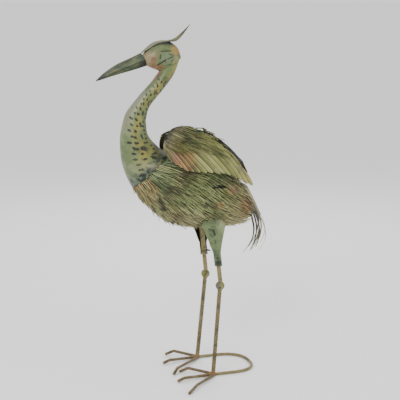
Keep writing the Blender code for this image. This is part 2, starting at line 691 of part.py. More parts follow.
def make_hoop():
    """A plain rod that joins the heels in a U on the floor, its underside a little flattened."""
    radius = ANKLE_SPREAD / 2
    rise = HOOP_ROD / 2 - HOOP_FLAT
    start_y = ANKLE_Y + LEG_ROD / 2 + 3 * GAP
    turn_y = ANKLE_Y + HOOP_STRAIGHT
    points = [Vector((radius, start_y, rise))]
    for i in range(TURN_STEPS + 1):
        angle = math.pi * i / TURN_STEPS
        points.append(Vector((radius * math.cos(angle), turn_y + radius * math.sin(angle), rise)))
    points.append(Vector((-radius, start_y, rise)))
    bm = rod("heel_hoop", points, HOOP_ROD)
    trim(bm, Vector((0, 0, 0)), Vector((0, 0, -1)))
    return piece("heel_hoop", bm, "rod")


def stand_at_origin():
    """Moves the whole bird so that the origin is under the middle of its box."""
    bpy.context.view_layer.update()
    graph = bpy.context.evaluated_depsgraph_get()
    corners = []
    for obj in CRANE.objects:
        ready = obj.evaluated_get(graph)
        corners += [ready.matrix_world @ Vector(c) for c in ready.bound_box]
    low = [min(c[i] for c in corners) for i in range(3)]
    high = [max(c[i] for c in corners) for i in range(3)]
    STAND.location = (-(low[0] + high[0]) / 2, -(low[1] + high[1]) / 2, -low[2])
    print("moved by", [round(v, 5) for v in STAND.location])


clear_scene()
CRANE = bpy.data.collections.new("garden_crane")
CUTTERS = bpy.data.collections.new("cutters")
bpy.context.scene.collection.children.link(CRANE)
bpy.context.scene.collection.children.link(CUTTERS)
STAND = bpy.data.objects.new("stand", None)
bpy.context.scene.collection.objects.link(STAND)

make_neck()
make_body()
make_feather_rows()
make_head()
make_beak()
make_crest()
for wing_name, wing_side in (("wing_left", 1), ("wing_right", -1)):
    make_wing(wing_name, wing_side)
make_tail()
for leg_name, leg_side in (("left", 1), ("right", -1)):
    make_leg(leg_name, leg_side)
    make_toes(leg_name, leg_side)
make_hoop()
stand_at_origin()
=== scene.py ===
# %% [markdown]
# # A garden crane of painted sheet metal
# The bird is made like the real one: thin sheet, cut with a comb of slits, bent round a form and
# painted in greens, tans and yellows, on legs of twisted bar. The solids of the frame give every
# place and size. This lesson puts finer sheets in their place and paints them with shader nodes.

# %% Load the fixed frame
import math
import random

import bmesh
import bpy
import numpy as np
from mathutils import Matrix, Vector


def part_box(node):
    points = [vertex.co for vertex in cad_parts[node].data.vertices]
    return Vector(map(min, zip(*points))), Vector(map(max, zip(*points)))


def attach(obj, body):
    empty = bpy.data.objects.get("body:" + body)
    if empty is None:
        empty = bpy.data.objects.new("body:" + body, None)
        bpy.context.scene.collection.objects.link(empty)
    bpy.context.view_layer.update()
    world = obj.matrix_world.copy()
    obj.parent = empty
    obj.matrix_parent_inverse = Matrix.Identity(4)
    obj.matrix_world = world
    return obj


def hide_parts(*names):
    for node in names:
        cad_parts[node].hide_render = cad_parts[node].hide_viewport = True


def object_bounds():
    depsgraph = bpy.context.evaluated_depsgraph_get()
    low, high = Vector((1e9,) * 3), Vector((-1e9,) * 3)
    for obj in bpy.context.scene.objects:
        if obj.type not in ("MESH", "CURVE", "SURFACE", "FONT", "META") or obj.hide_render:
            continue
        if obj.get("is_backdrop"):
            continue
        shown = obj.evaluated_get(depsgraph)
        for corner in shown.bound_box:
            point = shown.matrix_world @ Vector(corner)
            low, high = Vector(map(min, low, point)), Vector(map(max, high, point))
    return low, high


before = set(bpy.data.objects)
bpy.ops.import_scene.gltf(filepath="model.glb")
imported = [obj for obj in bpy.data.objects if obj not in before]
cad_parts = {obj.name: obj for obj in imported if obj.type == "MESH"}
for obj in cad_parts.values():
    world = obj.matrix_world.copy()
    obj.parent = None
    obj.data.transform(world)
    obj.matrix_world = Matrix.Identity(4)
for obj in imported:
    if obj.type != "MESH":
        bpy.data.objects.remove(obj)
cad_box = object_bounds()
print("nodes in the frame:", len(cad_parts))

# %% [markdown]
# The bird was drawn round its own middle plane, and the frame moved it so that its box stands
# over the origin. The two knee balls tell how far it moved, so every later point can be given in
# the bird's own sizes: x to its left, y behind it and z above the belly, in millimetres.

# %% Find the bird's middle plane
MM = 0.001
BELLY = 0.370
KNEE = Vector((0.0595, 0.0333, 0.230))
SIDES = (("left", 1), ("right", -1))


def middle_of(node):
    """The middle of a node's box."""
    low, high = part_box(node)
    return (low + high) / 2


BIRD = (middle_of("knee_ball_left") + middle_of("knee_ball_right")) / 2 - Vector((0, KNEE.y, KNEE.z))


def form(x, y, z):
    """A point of the frame, from the bird's own millimetres."""
    return BIRD + Vector((x * MM, y * MM, BELLY + z * MM))


print("the middle plane is at", [round(v, 4) for v in BIRD])

# %% [markdown]
# The camera stands on the bird's left, a little in front and above. Its distance, its tilt and its
# lens were worked out from the hoop, the ankles and the knees of the photographed bird.

# %% Set up the camera
CAMERA_DISTANCE = 2.5
CAMERA_HEIGHT = 0.933
CAMERA_SWING = 0.304
CAMERA_TILT = 0.196
LENS_PIXELS = 1027.8
PICTURE = 400
SENSOR = 36.0

camera_data = bpy.data.cameras.new("camera")
camera_data.sensor_width = SENSOR
camera_data.lens = SENSOR * LENS_PIXELS / PICTURE
camera = bpy.data.objects.new("camera", camera_data)
bpy.context.scene.collection.objects.link(camera)
level = Vector((math.cos(CAMERA_SWING), -math.sin(CAMERA_SWING), 0))
camera.location = BIRD + level * CAMERA_DISTANCE + Vector((0, 0, CAMERA_HEIGHT))
look = -level * math.cos(CAMERA_TILT) - Vector((0, 0, math.sin(CAMERA_TILT)))
camera.rotation_euler = look.to_track_quat("-Z", "Y").to_euler()
bpy.context.scene.camera = camera
print("lens", round(camera_data.lens, 1), "mm")

# %% [markdown]
# A pale floor and three large soft lamps make a plain studio. Large lamps give the long soft
# highlights that show the bend of a sheet.

# %% Build the studio
FLOOR_SIZE = 150.0
FLOOR_DROP = 0.0005
FLOOR_COLOUR = (0.92, 0.92, 0.915, 1)
WORLD_STRENGTH = 1.15
LAMP_AIM = Vector((0, 0, 0.5))
LAMPS = (
    ("key", (1.6, -1.3, 1.9), 1.0, 34),
    ("fill", (1.8, 1.8, 0.9), 1.4, 12),
    ("rim", (-1.8, 0.6, 1.8), 1.2, 22),
)

floor_mesh = bmesh.new()
bmesh.ops.create_grid(floor_mesh, x_segments=1, y_segments=1, size=FLOOR_SIZE)
floor_data = bpy.data.meshes.new("floor")
floor_mesh.to_mesh(floor_data)
floor_mesh.free()
floor = bpy.data.objects.new("floor", floor_data)
floor.location.z = -FLOOR_DROP
bpy.context.scene.collection.objects.link(floor)
floor_paint = bpy.data.materials.new("floor_paint")
floor_paint.use_nodes = True
floor_shader = floor_paint.node_tree.nodes["Principled BSDF"]
floor_shader.inputs["Base Color"].default_value = FLOOR_COLOUR
floor_shader.inputs["Roughness"].default_value = 0.9
floor_data.materials.append(floor_paint)
floor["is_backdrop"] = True

world = bpy.data.worlds.new("studio")
world.use_nodes = True
world.node_tree.nodes["Background"].inputs["Color"].default_value = (1.0, 1.0, 1.0, 1)
world.node_tree.nodes["Background"].inputs["Strength"].default_value = WORLD_STRENGTH
bpy.context.scene.world = world

for name, place, size, power in LAMPS:
    lamp_data = bpy.data.lights.new(name, "AREA")
    lamp_data.size = size
    lamp_data.energy = power
    lamp = bpy.data.objects.new(name, lamp_data)
    bpy.context.scene.collection.objects.link(lamp)
    lamp.location = BIRD + Vector(place)
    lamp.rotation_euler = (BIRD + LAMP_AIM - lamp.location).to_track_quat("-Z", "Y").to_euler()
    print("lamp", name, power, "W")

# %% [markdown]
# ## The form
# Neck and body are one smooth surface. Each station is a slanted ring with a point on the under
# line, a point on the over line and half a width, and a spline runs through the stations. Any
# place on the surface is then a station, an angle round it and a depth under it.

# %% Neck and body as a surface
STATIONS = np.array([
    (-103, 387, -51, 417, 22), (-106, 382, -67, 377.5, 20), (-121, 363, -94.5, 341, 18),
    (-136, 347, -110, 324, 17), (-155, 327, -128, 301, 18.5), (-180, 297, -136, 274, 23),
    (-190, 277, -136, 260, 26), (-200, 233, -132, 235, 31), (-199.5, 187, -112, 210, 38),
    (-194, 159, -96, 198, 45), (-185, 134, -72, 192, 54), (-170, 104, -41, 190, 63),
    (-150, 74, -4, 184, 70), (-124, 48, 29, 171, 74), (-91, 21, 58, 153, 76),
    (-50, 5, 83, 131, 76), (-5, 0, 103, 110, 74), (42, 0, 118, 90, 68), (84, 1.5, 129, 72, 58),
    (116, 8, 136, 57, 44), (133, 18, 140, 48, 26), (138, 25, 141, 42, 15),
])
LAST_STATION = len(STATIONS) - 1.0


def along(points, t):
    """A smooth curve through rows of numbers, read at t, counted in rows."""
    last = len(points) - 1
    i = int(min(max(math.floor(t), 0), last - 1))
    f = t - i
    b, c = points[i], points[i + 1]
    a = points[i - 1] if i > 0 else 2 * b - c
    d = points[i + 2] if i + 2 <= last else 2 * c - b
    turns = (2 * b, c - a, 2 * a - 5 * b + 4 * c - d, 3 * b - a - 3 * c + d)
    return 0.5 * sum(turn * f ** power for power, turn in enumerate(turns))


def skin_point(t, angle, depth=0.0):
    """A point at station t; the angle counts from the back line over the left side, and the depth
    is in metres."""
    uy, uz, oy, oz, half = along(STATIONS, t)
    middle = form(0, (uy + oy) / 2, (uz + oz) / 2)
    rise = form(0, oy, oz) - middle
    rise = rise.normalized() * max(rise.length - depth, 0.001)
    side = max(half * MM - depth, 0.001)
    return middle + rise * math.cos(angle) + Vector((side * math.sin(angle), 0, 0))


def distances(first, last, count=160):
    """Fine stations and how far each lies from the first one along the middle of the form."""
    stations = np.linspace(first, last, count)
    points = [skin_point(t, 0.0) + skin_point(t, math.pi) for t in stations]
    steps = [0.0] + [(b - a).length / 2 for a, b in zip(points, points[1:])]
    return np.cumsum(steps), stations


print("stations:", len(STATIONS), "from the head's seam to the rear end")

# %% [markdown]
# ## Sheets
# Every sheet piece starts as the maker's blank does: a flat grid. A sheet with feathers is slit from
# its lower edge into tongues, which is a grid whose lines are split. Only then is it bent to its
# place. Two values stay on each point for the painter, how near it is to a slit and how far down
# the tongue it lies, and each tongue carries a number of its own.

# %% Helpers for sheets and tubes
def blank(columns, rows):
    """A flat grid over the unit square."""
    bm = bmesh.new()
    bmesh.ops.create_grid(bm, x_segments=columns, y_segments=rows, size=0.5)
    bmesh.ops.translate(bm, verts=bm.verts[:], vec=(0.5, 0.5, 0.0))
    return bm


def comb(tongues, columns, rows, slit, numbers):
    """A blank slit into tongues. Gives the mesh and, for each point, its across, its down, the
    number of its tongue and its place between the tongue's edges from -1 to 1."""
    bm = blank(tongues * columns, rows)
    edge_value = bm.verts.layers.float.new("edge")
    down_value = bm.verts.layers.float.new("down")
    strip_value = bm.faces.layers.float.new("strip")
    lines = []
    for e in bm.edges:
        a, b = e.verts
        line = a.co.x * tongues
        upright = abs(a.co.x - b.co.x) < 1e-5
        if upright and abs(line - round(line)) < 1e-3 and 0.5 < line < tongues - 0.5:
            if min(a.co.y, b.co.y) > slit - 1e-4:
                lines.append(e)
    bmesh.ops.split_edges(bm, edges=lines)
    spots = []
    for f in bm.faces:
        f[strip_value] = numbers[min(int(f.calc_center_median().x * tongues), tongues - 1)]
    for v in bm.verts:
        middle = v.link_faces[0].calc_center_median()
        tongue = min(int(middle.x * tongues), tongues - 1)
        local = 2 * (v.co.x * tongues - tongue) - 1
        v[edge_value] = local
        v[down_value] = v.co.y
        spots.append((v, v.co.x, v.co.y, tongue, local))
    return bm, spots


def roll_up(bm, place, caps=False):
    """Bends a blank into a tube and welds its two long edges; caps closes the ends."""
    for v in bm.verts:
        v.co = place(v.co.x, v.co.y)
    bmesh.ops.remove_doubles(bm, verts=bm.verts[:], dist=1e-6)
    if caps:
        rim = [e for e in bm.edges if e.is_boundary]
        bmesh.ops.holes_fill(bm, edges=rim, sides=0)
    bmesh.ops.recalc_face_normals(bm, faces=bm.faces[:])
    return bm


def face_out(bm, outward):
    """Turns an open sheet's faces to the side that outward(place) points to."""
    bm.normal_update()
    total = sum(f.normal.dot(outward(f.calc_center_median())) for f in bm.faces)
    if total < 0:
        bmesh.ops.reverse_faces(bm, faces=bm.faces[:])


def add_piece(name, bm, paints, slot, nodes, thickness=0.0, sharp=40):
    """Makes the mesh an object of the bird. A sheet gets its thickness on its inner side, and where
    two paints are given the second one is for that side."""
    for f in bm.faces:
        f.smooth = True
    mesh = bpy.data.meshes.new(name)
    bm.to_mesh(mesh)
    bm.free()
    for paint in paints:
        mesh.materials.append(paint)
    mesh.set_sharp_from_angle(angle=math.radians(sharp))
    piece = bpy.data.objects.new(name, mesh)
    bpy.context.scene.collection.objects.link(piece)
    if thickness:
        sheet = piece.modifiers.new("sheet", "SOLIDIFY")
        sheet.thickness = thickness
        sheet.offset = -1.0
        sheet.material_offset = len(paints) - 1
    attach(piece, "root")
    if nodes:
        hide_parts(*nodes)
    print(f"{name}: {len(mesh.polygons)} faces")
    return piece


# %% [markdown]
# ## Paint
# A colour is given as it looks on a screen, from 0 to 255, and turned into the light values that
# shaders use. Small helpers add nodes, so that each paint below reads like a recipe.

# %% Helpers for shader nodes
STUDIO_SHARE = 0.60


def tone(red, green, blue):
    """A screen colour as light values, darkened a little for the bright studio."""
    shares = [c / 255 for c in (red, green, blue)]
    light = [s / 12.92 if s < 0.04 else ((s + 0.055) / 1.055) ** 2.4 for s in shares]
    return tuple(c * STUDIO_SHARE for c in light) + (1.0,)


def plug(tree, value, socket):
    """Links a socket to an input, or writes a plain value into it."""
    if isinstance(value, bpy.types.NodeSocket):
        tree.links.new(value, socket)
    else:
        socket.default_value = value


def calc(tree, operation, a, b=None, c=None, clamp=False):
    """A Math node's result."""
    node = tree.nodes.new("ShaderNodeMath")
    node.operation = operation
    node.use_clamp = clamp
    for i, value in enumerate((a, b, c)):
        if value is not None:
            plug(tree, value, node.inputs[i])
    return node.outputs[0]


def both(tree, a, b):
    """A mask that is only where two masks are, or one mask made weaker."""
    return calc(tree, "MULTIPLY", a, b)


def vector(tree, operation, a, b=None):
    """A Vector Math node's result, which is a plain value for products and lengths."""
    node = tree.nodes.new("ShaderNodeVectorMath")
    node.operation = operation
    plug(tree, a, node.inputs[0])
    if b is not None:
        plug(tree, b, node.inputs["Scale" if operation == "SCALE" else 1])
    return node.outputs["Value" if operation in ("DOT_PRODUCT", "DISTANCE", "LENGTH") else "Vector"]


def fade(tree, value, start, end):
    """Rises smoothly from 0 at start to 1 at end."""
    node = tree.nodes.new("ShaderNodeMapRange")
    node.interpolation_type = "SMOOTHSTEP"
    for socket, given in ((0, value), (1, start), (2, end)):
        plug(tree, given, node.inputs[socket])
    return node.outputs[0]


def mix(tree, factor, a, b):
    """A mix of two colours."""
    node = tree.nodes.new("ShaderNodeMix")
    node.data_type = "RGBA"
    plug(tree, factor, node.inputs[0])
    plug(tree, a, node.inputs[6])
    plug(tree, b, node.inputs[7])
    return node.outputs[2]


def lay(tree, colour, mask, shade, strength=1.0):
    """Lays a screen colour over another colour where a mask is."""
    if strength != 1.0:
        mask = both(tree, mask, strength)
    return mix(tree, mask, colour, tone(*shade))


def clouds(tree, place, scale, detail=4.0, stretch=None):
    """Noise from 0 to 1, stretched if wanted."""
    if stretch is not None:
        place = vector(tree, "MULTIPLY", place, stretch)
    node = tree.nodes.new("ShaderNodeTexNoise")
    plug(tree, place, node.inputs["Vector"])
    plug(tree, scale, node.inputs["Scale"])
    node.inputs["Detail"].default_value = detail
    return node.outputs["Fac"]


def mottle(tree, place, scale, start, end, stretch=None):
    """A mask of soft blotches, cut from the noise between two of its values."""
    return fade(tree, clouds(tree, place, scale, stretch=stretch), start, end)


def value_of(tree, name):
    """A value that a piece carries on its points or faces."""
    node = tree.nodes.new("ShaderNodeAttribute")
    node.attribute_name = name
    return node.outputs["Fac"]


def new_group(name, inputs, outputs):
    """An empty node group with its sockets; gives the group, its inputs and its output node."""
    kinds = {"value": "NodeSocketFloat", "colour": "NodeSocketColor", "vector": "NodeSocketVector"}
    group = bpy.data.node_groups.new(name, "ShaderNodeTree")
    for way, sockets in (("INPUT", inputs), ("OUTPUT", outputs)):
        for socket, kind in sockets:
            group.interface.new_socket(name=socket, in_out=way, socket_type=kinds[kind])
    return group, group.nodes.new("NodeGroupInput").outputs, group.nodes.new("NodeGroupOutput").inputs


def use(tree, group, **values):
    """Places a group in a tree and gives its outputs."""
    node = tree.nodes.new("ShaderNodeGroup")
    node.node_tree = group
    for name, value in values.items():
        plug(tree, value, node.inputs[name])
    return node.outputs


print("node helpers ready")

# %% [markdown]
# ### Shared effects
# Every surface is old paint on metal: uneven in tone, with dark specks where dirt sits and a fine
# grain in its gloss. One group does this for all pieces, and each paint calls it with its own
# amounts.

# %% Aged paint
aged, got, put = new_group(
    "aged paint",
    [("Paint", "colour"), ("Place", "vector"), ("Size", "value"), ("Dirt", "value")],
    [("Colour", "colour"), ("Roughness", "value"), ("Height", "value")],
)
broad = clouds(aged, got["Place"], got["Size"], 5.0)
fine = clouds(aged, got["Place"], calc(aged, "MULTIPLY", got["Size"], 7.0), 6.0)
paler = lay(aged, got["Paint"], 0.3, (206, 200, 150))
darker = lay(aged, got["Paint"], 0.62, (38, 42, 26))
toned = mix(aged, fade(aged, broad, 0.54, 0.72), got["Paint"], paler)
toned = mix(aged, fade(aged, broad, 0.48, 0.30), toned, darker)
specks = both(aged, fade(aged, fine, 0.56, 0.70), got["Dirt"])
plug(aged, lay(aged, toned, specks, (34, 36, 24)), put["Colour"])
plug(aged, calc(aged, "MULTIPLY_ADD", fine, 0.34, 0.30), put["Roughness"])
plug(aged, calc(aged, "MULTIPLY_ADD", broad, 0.4, fine), put["Height"])
print("group:", aged.name)

# %% [markdown]
# The feather tongues share another effect. Each tongue has a painted highlight along its upper edge and painted
# shade along its lower edge, painted shade where it slips under the row above, and no two tongues were painted
# quite the same.

# %% Feather tongues
feathered, got, put = new_group(
    "feather tongue",
    [("Paint", "colour"), ("Edge", "value"), ("Down", "value"), ("Strip", "value"), ("Root", "value")],
    [("Colour", "colour")],
)
lighter = lay(feathered, got["Paint"], 0.75, (214, 216, 150))
deeper = lay(feathered, got["Paint"], 0.55, (42, 50, 28))
own = mix(feathered, fade(feathered, got["Strip"], 0.60, 1.0), got["Paint"], lighter)
own = mix(feathered, fade(feathered, got["Strip"], 0.42, 0.0), own, deeper)
# Painted highlight along each tongue's upper edge and painted shade along its lower edge.
edge_highlight = both(feathered, fade(feathered, got["Edge"], 0.30, 0.95), fade(feathered, got["Down"], 0.25, 0.6))
own = lay(feathered, own, edge_highlight, (218, 218, 150), 0.72)
shaded = both(feathered, fade(feathered, got["Edge"], -0.35, -0.95), fade(feathered, got["Down"], 0.15, 0.4))
own = lay(feathered, own, shaded, (26, 30, 16), 0.85)
# Painted shade at the tongue's root, where it slips under the row above.
root_shade = fade(feathered, got["Down"], got["Root"], 0.0)
plug(feathered, lay(feathered, own, root_shade, (30, 34, 20), 0.9), put["Colour"])
print("group:", feathered.name)

# %% [markdown]
# The maker also brushed dark marks on head, neck and thighs. The same strokes also lay painted
# shadow under the crest and on the breast. A brush stroke is all that lies within a width of a line
# between two points, seen from the side of the bird, with a ragged edge.

# %% Brush strokes
stroke, got, put = new_group(
    "brush stroke",
    [("Place", "vector"), ("Start", "vector"), ("End", "vector"), ("Width", "value")],
    [("Mask", "value")],
)
flat_place = vector(stroke, "MULTIPLY", got["Place"], (0, 1, 1))
from_start = vector(stroke, "SUBTRACT", flat_place, got["Start"])
run = vector(stroke, "SUBTRACT", got["End"], got["Start"])
done = vector(stroke, "DOT_PRODUCT", from_start, run)
share = calc(stroke, "DIVIDE", done, vector(stroke, "DOT_PRODUCT", run, run), clamp=True)
gap = vector(stroke, "DISTANCE", from_start, vector(stroke, "SCALE", run, share))
ragged = calc(stroke, "MULTIPLY_ADD", clouds(stroke, got["Place"], 420.0, 3.0), 1.3, -0.65)
reach = calc(stroke, "MULTIPLY", got["Width"], calc(stroke, "ADD", 1.0, ragged))
plug(stroke, fade(stroke, calc(stroke, "SUBTRACT", gap, reach), 0.0009, -0.0009), put["Mask"])
print("group:", stroke.name)

# %% [markdown]
# Rows of short dashes run down the neck. The neck's points carry how far round and how far down
# they lie, so a row is a repeat along the neck, with each dash pushed a little to one side.

# %% Rows of dashes
dashes, got, put = new_group(
    "row of dashes",
    [("Place", "vector")] + [(name, "value") for name in ("Round", "Along", "Middle", "Spacing", "Seed")],
    [("Mask", "value")],
)
count = calc(dashes, "DIVIDE", got["Along"], got["Spacing"])
number = calc(dashes, "FLOOR", count)
chance = dashes.nodes.new("ShaderNodeTexWhiteNoise")
chance.noise_dimensions = "1D"
plug(dashes, calc(dashes, "ADD", number, got["Seed"]), chance.inputs["W"])
shift = calc(dashes, "MULTIPLY_ADD", chance.outputs["Value"], 0.09, -0.045)
off_side = calc(dashes, "SUBTRACT", calc(dashes, "SUBTRACT", got["Round"], got["Middle"]), shift)
off_line = calc(dashes, "SUBTRACT", calc(dashes, "SUBTRACT", count, number), 0.5)
off_line = calc(dashes, "MULTIPLY_ADD", off_side, 1.6, off_line)
size = calc(dashes, "MULTIPLY_ADD", chance.outputs["Value"], 0.034, 0.030)
across = calc(dashes, "POWER", calc(dashes, "DIVIDE", off_side, size), 2.0)
down = calc(dashes, "POWER", calc(dashes, "DIVIDE", off_line, 0.22), 2.0)
reach = calc(dashes, "MULTIPLY_ADD", clouds(dashes, got["Place"], 260.0, 3.0), 3.2, -1.6)
reach = calc(dashes, "ADD", reach, calc(dashes, "ADD", across, down))
plug(dashes, fade(dashes, reach, 1.35, 0.7), put["Mask"])
print("group:", dashes.name)

# %% [markdown]
# A paint itself keeps its shader outside the groups. This helper makes the material, gives the
# painter the Object coordinates and wires the result to the Principled shader at the end.

# %% Start and finish a paint
METAL_SHARE = 0.2
COAT_SHARE = 0.12
COAT_ROUGHNESS = 0.35
GRAIN_DEPTH = 0.0006


def start_paint(name):
    """A new material; gives it with its node tree and the Object coordinates."""
    paint = bpy.data.materials.new(name)
    paint.use_nodes = True
    tree = paint.node_tree
    return paint, tree, tree.nodes.new("ShaderNodeTexCoord").outputs["Object"]


def finish_paint(paint, tree, colour, place, size=14.0, dirt=0.5, bump=0.25, metal=METAL_SHARE):
    """Ages the colour and wires it to the shader, with the grain of the paint as a bump."""
    shader = tree.nodes["Principled BSDF"]
    old = use(tree, aged, Paint=colour, Place=place, Size=size, Dirt=dirt)
    relief = tree.nodes.new("ShaderNodeBump")
    relief.inputs["Strength"].default_value = bump
    relief.inputs["Distance"].default_value = GRAIN_DEPTH
    plug(tree, old["Height"], relief.inputs["Height"])
    plug(tree, old["Colour"], shader.inputs["Base Color"])
    plug(tree, old["Roughness"], shader.inputs["Roughness"])
    plug(tree, relief.outputs["Normal"], shader.inputs["Normal"])
    shader.inputs["Metallic"].default_value = metal
    shader.inputs["Coat Weight"].default_value = COAT_SHARE
    shader.inputs["Coat Roughness"].default_value = COAT_ROUGHNESS
    print("paint:", paint.name)
    return paint


print("a paint is", METAL_SHARE, "metal and has a coat of", COAT_SHARE)

# %% [markdown]
# A painter thinks of the bird's side view: this corner is tan, there sits a pink patch, here goes a
# stroke. Three kinds of masks do that, and each kind can be laid from a small table. A slope rises
# from one point to another, a patch is a soft ragged oval, and a stroke is a line. All points are in
# the bird's millimetres, first how far behind its middle, then how high above its belly.

# %% Slopes, patches and strokes
def slope(tree, place, scale, start, end, ripple):
    """A mask that rises from one point of the side view to another, with a soft ragged line."""
    a, b = form(0, *start), form(0, *end)
    run = b - a
    rough = ripple / run.length
    offset = vector(tree, "SUBTRACT", place, tuple(a))
    done = vector(tree, "DOT_PRODUCT", offset, tuple(run / run.length_squared))
    wave = calc(tree, "MULTIPLY_ADD", clouds(tree, place, scale, 3.0), 2 * rough, -rough)
    return fade(tree, calc(tree, "ADD", done, wave), 0.0, 1.0)


def patch(tree, place, centre, half_y, half_z, scale):
    """A soft ragged oval on the side view."""
    middle = form(0, *centre)
    offset = vector(tree, "SUBTRACT", place, (0, middle.y, middle.z))
    scaled = vector(tree, "MULTIPLY", offset, (0, 1 / (half_y * MM), 1 / (half_z * MM)))
    wave = calc(tree, "MULTIPLY_ADD", clouds(tree, place, scale, 3.0), 0.9, -0.45)
    return fade(tree, calc(tree, "ADD", vector(tree, "LENGTH", scaled), wave), 1.35, 0.55)


def brushed(tree, place, start, end, width):
    """The mask of one brush stroke between two points of the side view."""
    a, b = form(0, *start), form(0, *end)
    ends = {"Start": (0, a.y, a.z), "End": (0, b.y, b.z)}
    return use(tree, stroke, Place=place, Width=width * MM, **ends)["Mask"]


def lay_slopes(tree, place, colour, slopes):
    """Each row is the noise's scale, the start, the end, the ripple, the colour and the strength."""
    for scale, start, end, ripple, shade, strength in slopes:
        colour = lay(tree, colour, slope(tree, place, scale, start, end, ripple), shade, strength)
    return colour


def lay_patches(tree, place, colour, patches, scale):
    """Each row is the centre, half the width, half the height, the colour and the strength."""
    for centre, half_y, half_z, shade, strength in patches:
        colour = lay(tree, colour, patch(tree, place, centre, half_y, half_z, scale), shade, strength)
    return colour


def lay_strokes(tree, place, colour, strokes, shade):
    """Each row is the start, the end, half the width and the strength."""
    for start, end, width, strength in strokes:
        colour = lay(tree, colour, brushed(tree, place, start, end, width), shade, strength)
    return colour


print("one millimetre of the side view is", MM, "m")

# %% [markdown]
# ## The neck
# The real neck is one rolled tube that ends over the breast in a row of cut points. The tube is a
# blank of many rows, rolled up along the stations. It is painted pale green and lavender in front
# and yellow-olive at the side, with rows of black-green dashes.

# %% Paint for the neck
DASH_ROWS = ((0.66, 0.0125, 3.0), (0.54, 0.0135, 21.0), (0.30, 0.0115, 44.0), (0.42, 0.030, 63.0))
RING_RATE = 700.0

neck_paint, tree, place = start_paint("neck_paint")
around = value_of(tree, "round")
down_neck = value_of(tree, "along")
colour = lay(tree, tone(146, 156, 112), fade(tree, around, 0.82, 0.50), (134, 136, 66))
lavender = both(tree, fade(tree, around, 0.66, 0.86), fade(tree, down_neck, 0.24, 0.06))
colour = lay(tree, colour, lavender, (160, 152, 138))
colour = lay(tree, colour, fade(tree, around, 0.34, 0.10), (118, 126, 70))
colour = lay(tree, colour, mottle(tree, place, 24.0, 0.50, 0.60), (106, 128, 74), 0.8)
throat = both(tree, fade(tree, around, 0.74, 0.92), fade(tree, down_neck, 0.075, 0.03))
colour = lay(tree, colour, throat, (170, 116, 92))
ragged_share = calc(tree, "MULTIPLY_ADD", clouds(tree, place, 70.0), 0.10, value_of(tree, "share"))
skirt = fade(tree, ragged_share, 0.95, 1.03)
colour = lay(tree, colour, skirt, (84, 104, 80), 0.85)
colour = lay(tree, colour, both(tree, skirt, mottle(tree, place, 75.0, 0.48, 0.56)), (24, 38, 32))
# Painted shade on the neck's rear, low down where it meets the wing's front edge.
colour = lay(tree, colour, patch(tree, place, (-104, 196), 22, 40, 60.0), (58, 62, 30), 0.75)
yellow = both(tree, mottle(tree, place, 30.0, 0.56, 0.64, (1, 1, 0.7)), fade(tree, around, 0.8, 0.5))
colour = lay(tree, colour, yellow, (160, 152, 62), 0.8)
marks = 0.0
for middle, spacing, seed in DASH_ROWS:
    row = {"Middle": middle, "Spacing": spacing, "Seed": seed}
    one = use(tree, dashes, Place=place, Round=around, Along=down_neck, **row)["Mask"]
    marks = calc(tree, "MAXIMUM", marks, one)
marks = both(tree, marks, fade(tree, down_neck, 0.02, 0.05))
colour = lay(tree, colour, marks, (14, 20, 12), 0.95)
wave = calc(tree, "MULTIPLY_ADD", clouds(tree, place, 20.0), 0.006, down_neck)
rings = fade(tree, calc(tree, "SINE", calc(tree, "MULTIPLY", wave, RING_RATE)), 0.80, 1.0)
rings = both(tree, rings, both(tree, fade(tree, around, 0.72, 0.9), fade(tree, down_neck, 0.14, 0.2)))
colour = lay(tree, colour, rings, (96, 112, 92), 0.35)
finish_paint(neck_paint, tree, colour, place, 18.0, 0.35)

inside_paint, tree, place = start_paint("inside_paint")
colour = lay(tree, tone(58, 54, 34), mottle(tree, place, 22.0, 0.42, 0.6), (84, 76, 46))
finish_paint(inside_paint, tree, colour, place, 12.0, 0.5, 0.2, 0.1)

# %% [markdown]
# The neck's blank carries three values for its painter: how far round a point lies, how far down in
# metres, and its share of the whole length. Its lower edge is cut into points. The sheet's own
# thickness is a Solidify modifier, as for every sheet here, and its inner side has a dark paint.

# %% Roll the neck
NECK_AROUND = 96
NECK_ROWS = 110
SKIRT = (9.5, 10.05, 10.75)
POINTS = 32
neck_lengths, neck_stations = distances(0.0, 11.2)
chance = random.Random(5)
point_cut = [0.13 + 0.10 * chance.random() for _ in range(POINTS)]


def skirt_end(share):
    """The station where the neck ends at a share of the way round from the back line."""
    back, side, front = SKIRT
    c = math.cos(2 * math.pi * share)
    base = side + (back - side) * c if c > 0 else side + (side - front) * c
    local = (share * POINTS) % 1.0
    return base + point_cut[int(share * POINTS) % POINTS] * (1 - abs(2 * local - 1) ** 1.6) - 0.04


bm = blank(NECK_AROUND, NECK_ROWS)
round_layer = bm.verts.layers.float.new("round")
along_layer = bm.verts.layers.float.new("along")
share_layer = bm.verts.layers.float.new("share")
for v in bm.verts:
    v[round_layer] = 1 - abs(2 * v.co.x - 1)
    v[share_layer] = v.co.y
    v[along_layer] = float(np.interp(v.co.y * skirt_end(v.co.x), neck_stations, neck_lengths))
roll_up(bm, lambda x, y: skin_point(y * skirt_end(x), 2 * math.pi * x, 0.0002))
axis = [(skin_point(t, 0.0) + skin_point(t, math.pi)) / 2 for t in np.linspace(0, 10, 60)]
face_out(bm, lambda p: p - min(axis, key=lambda a: (a - p).length))
add_piece("neck_tube", bm, [neck_paint, inside_paint], "neck_paint", ["neck"], 0.0008)

# %% [markdown]
# ## The body's feathers
# The body is wrapped in many rows of slit sheet. A row's head lies close to the shell and its tongues
# stand off, over the head of the next row. Each tongue gets its own width, length, lean and lift,
# as hand cutting and bending leave it.

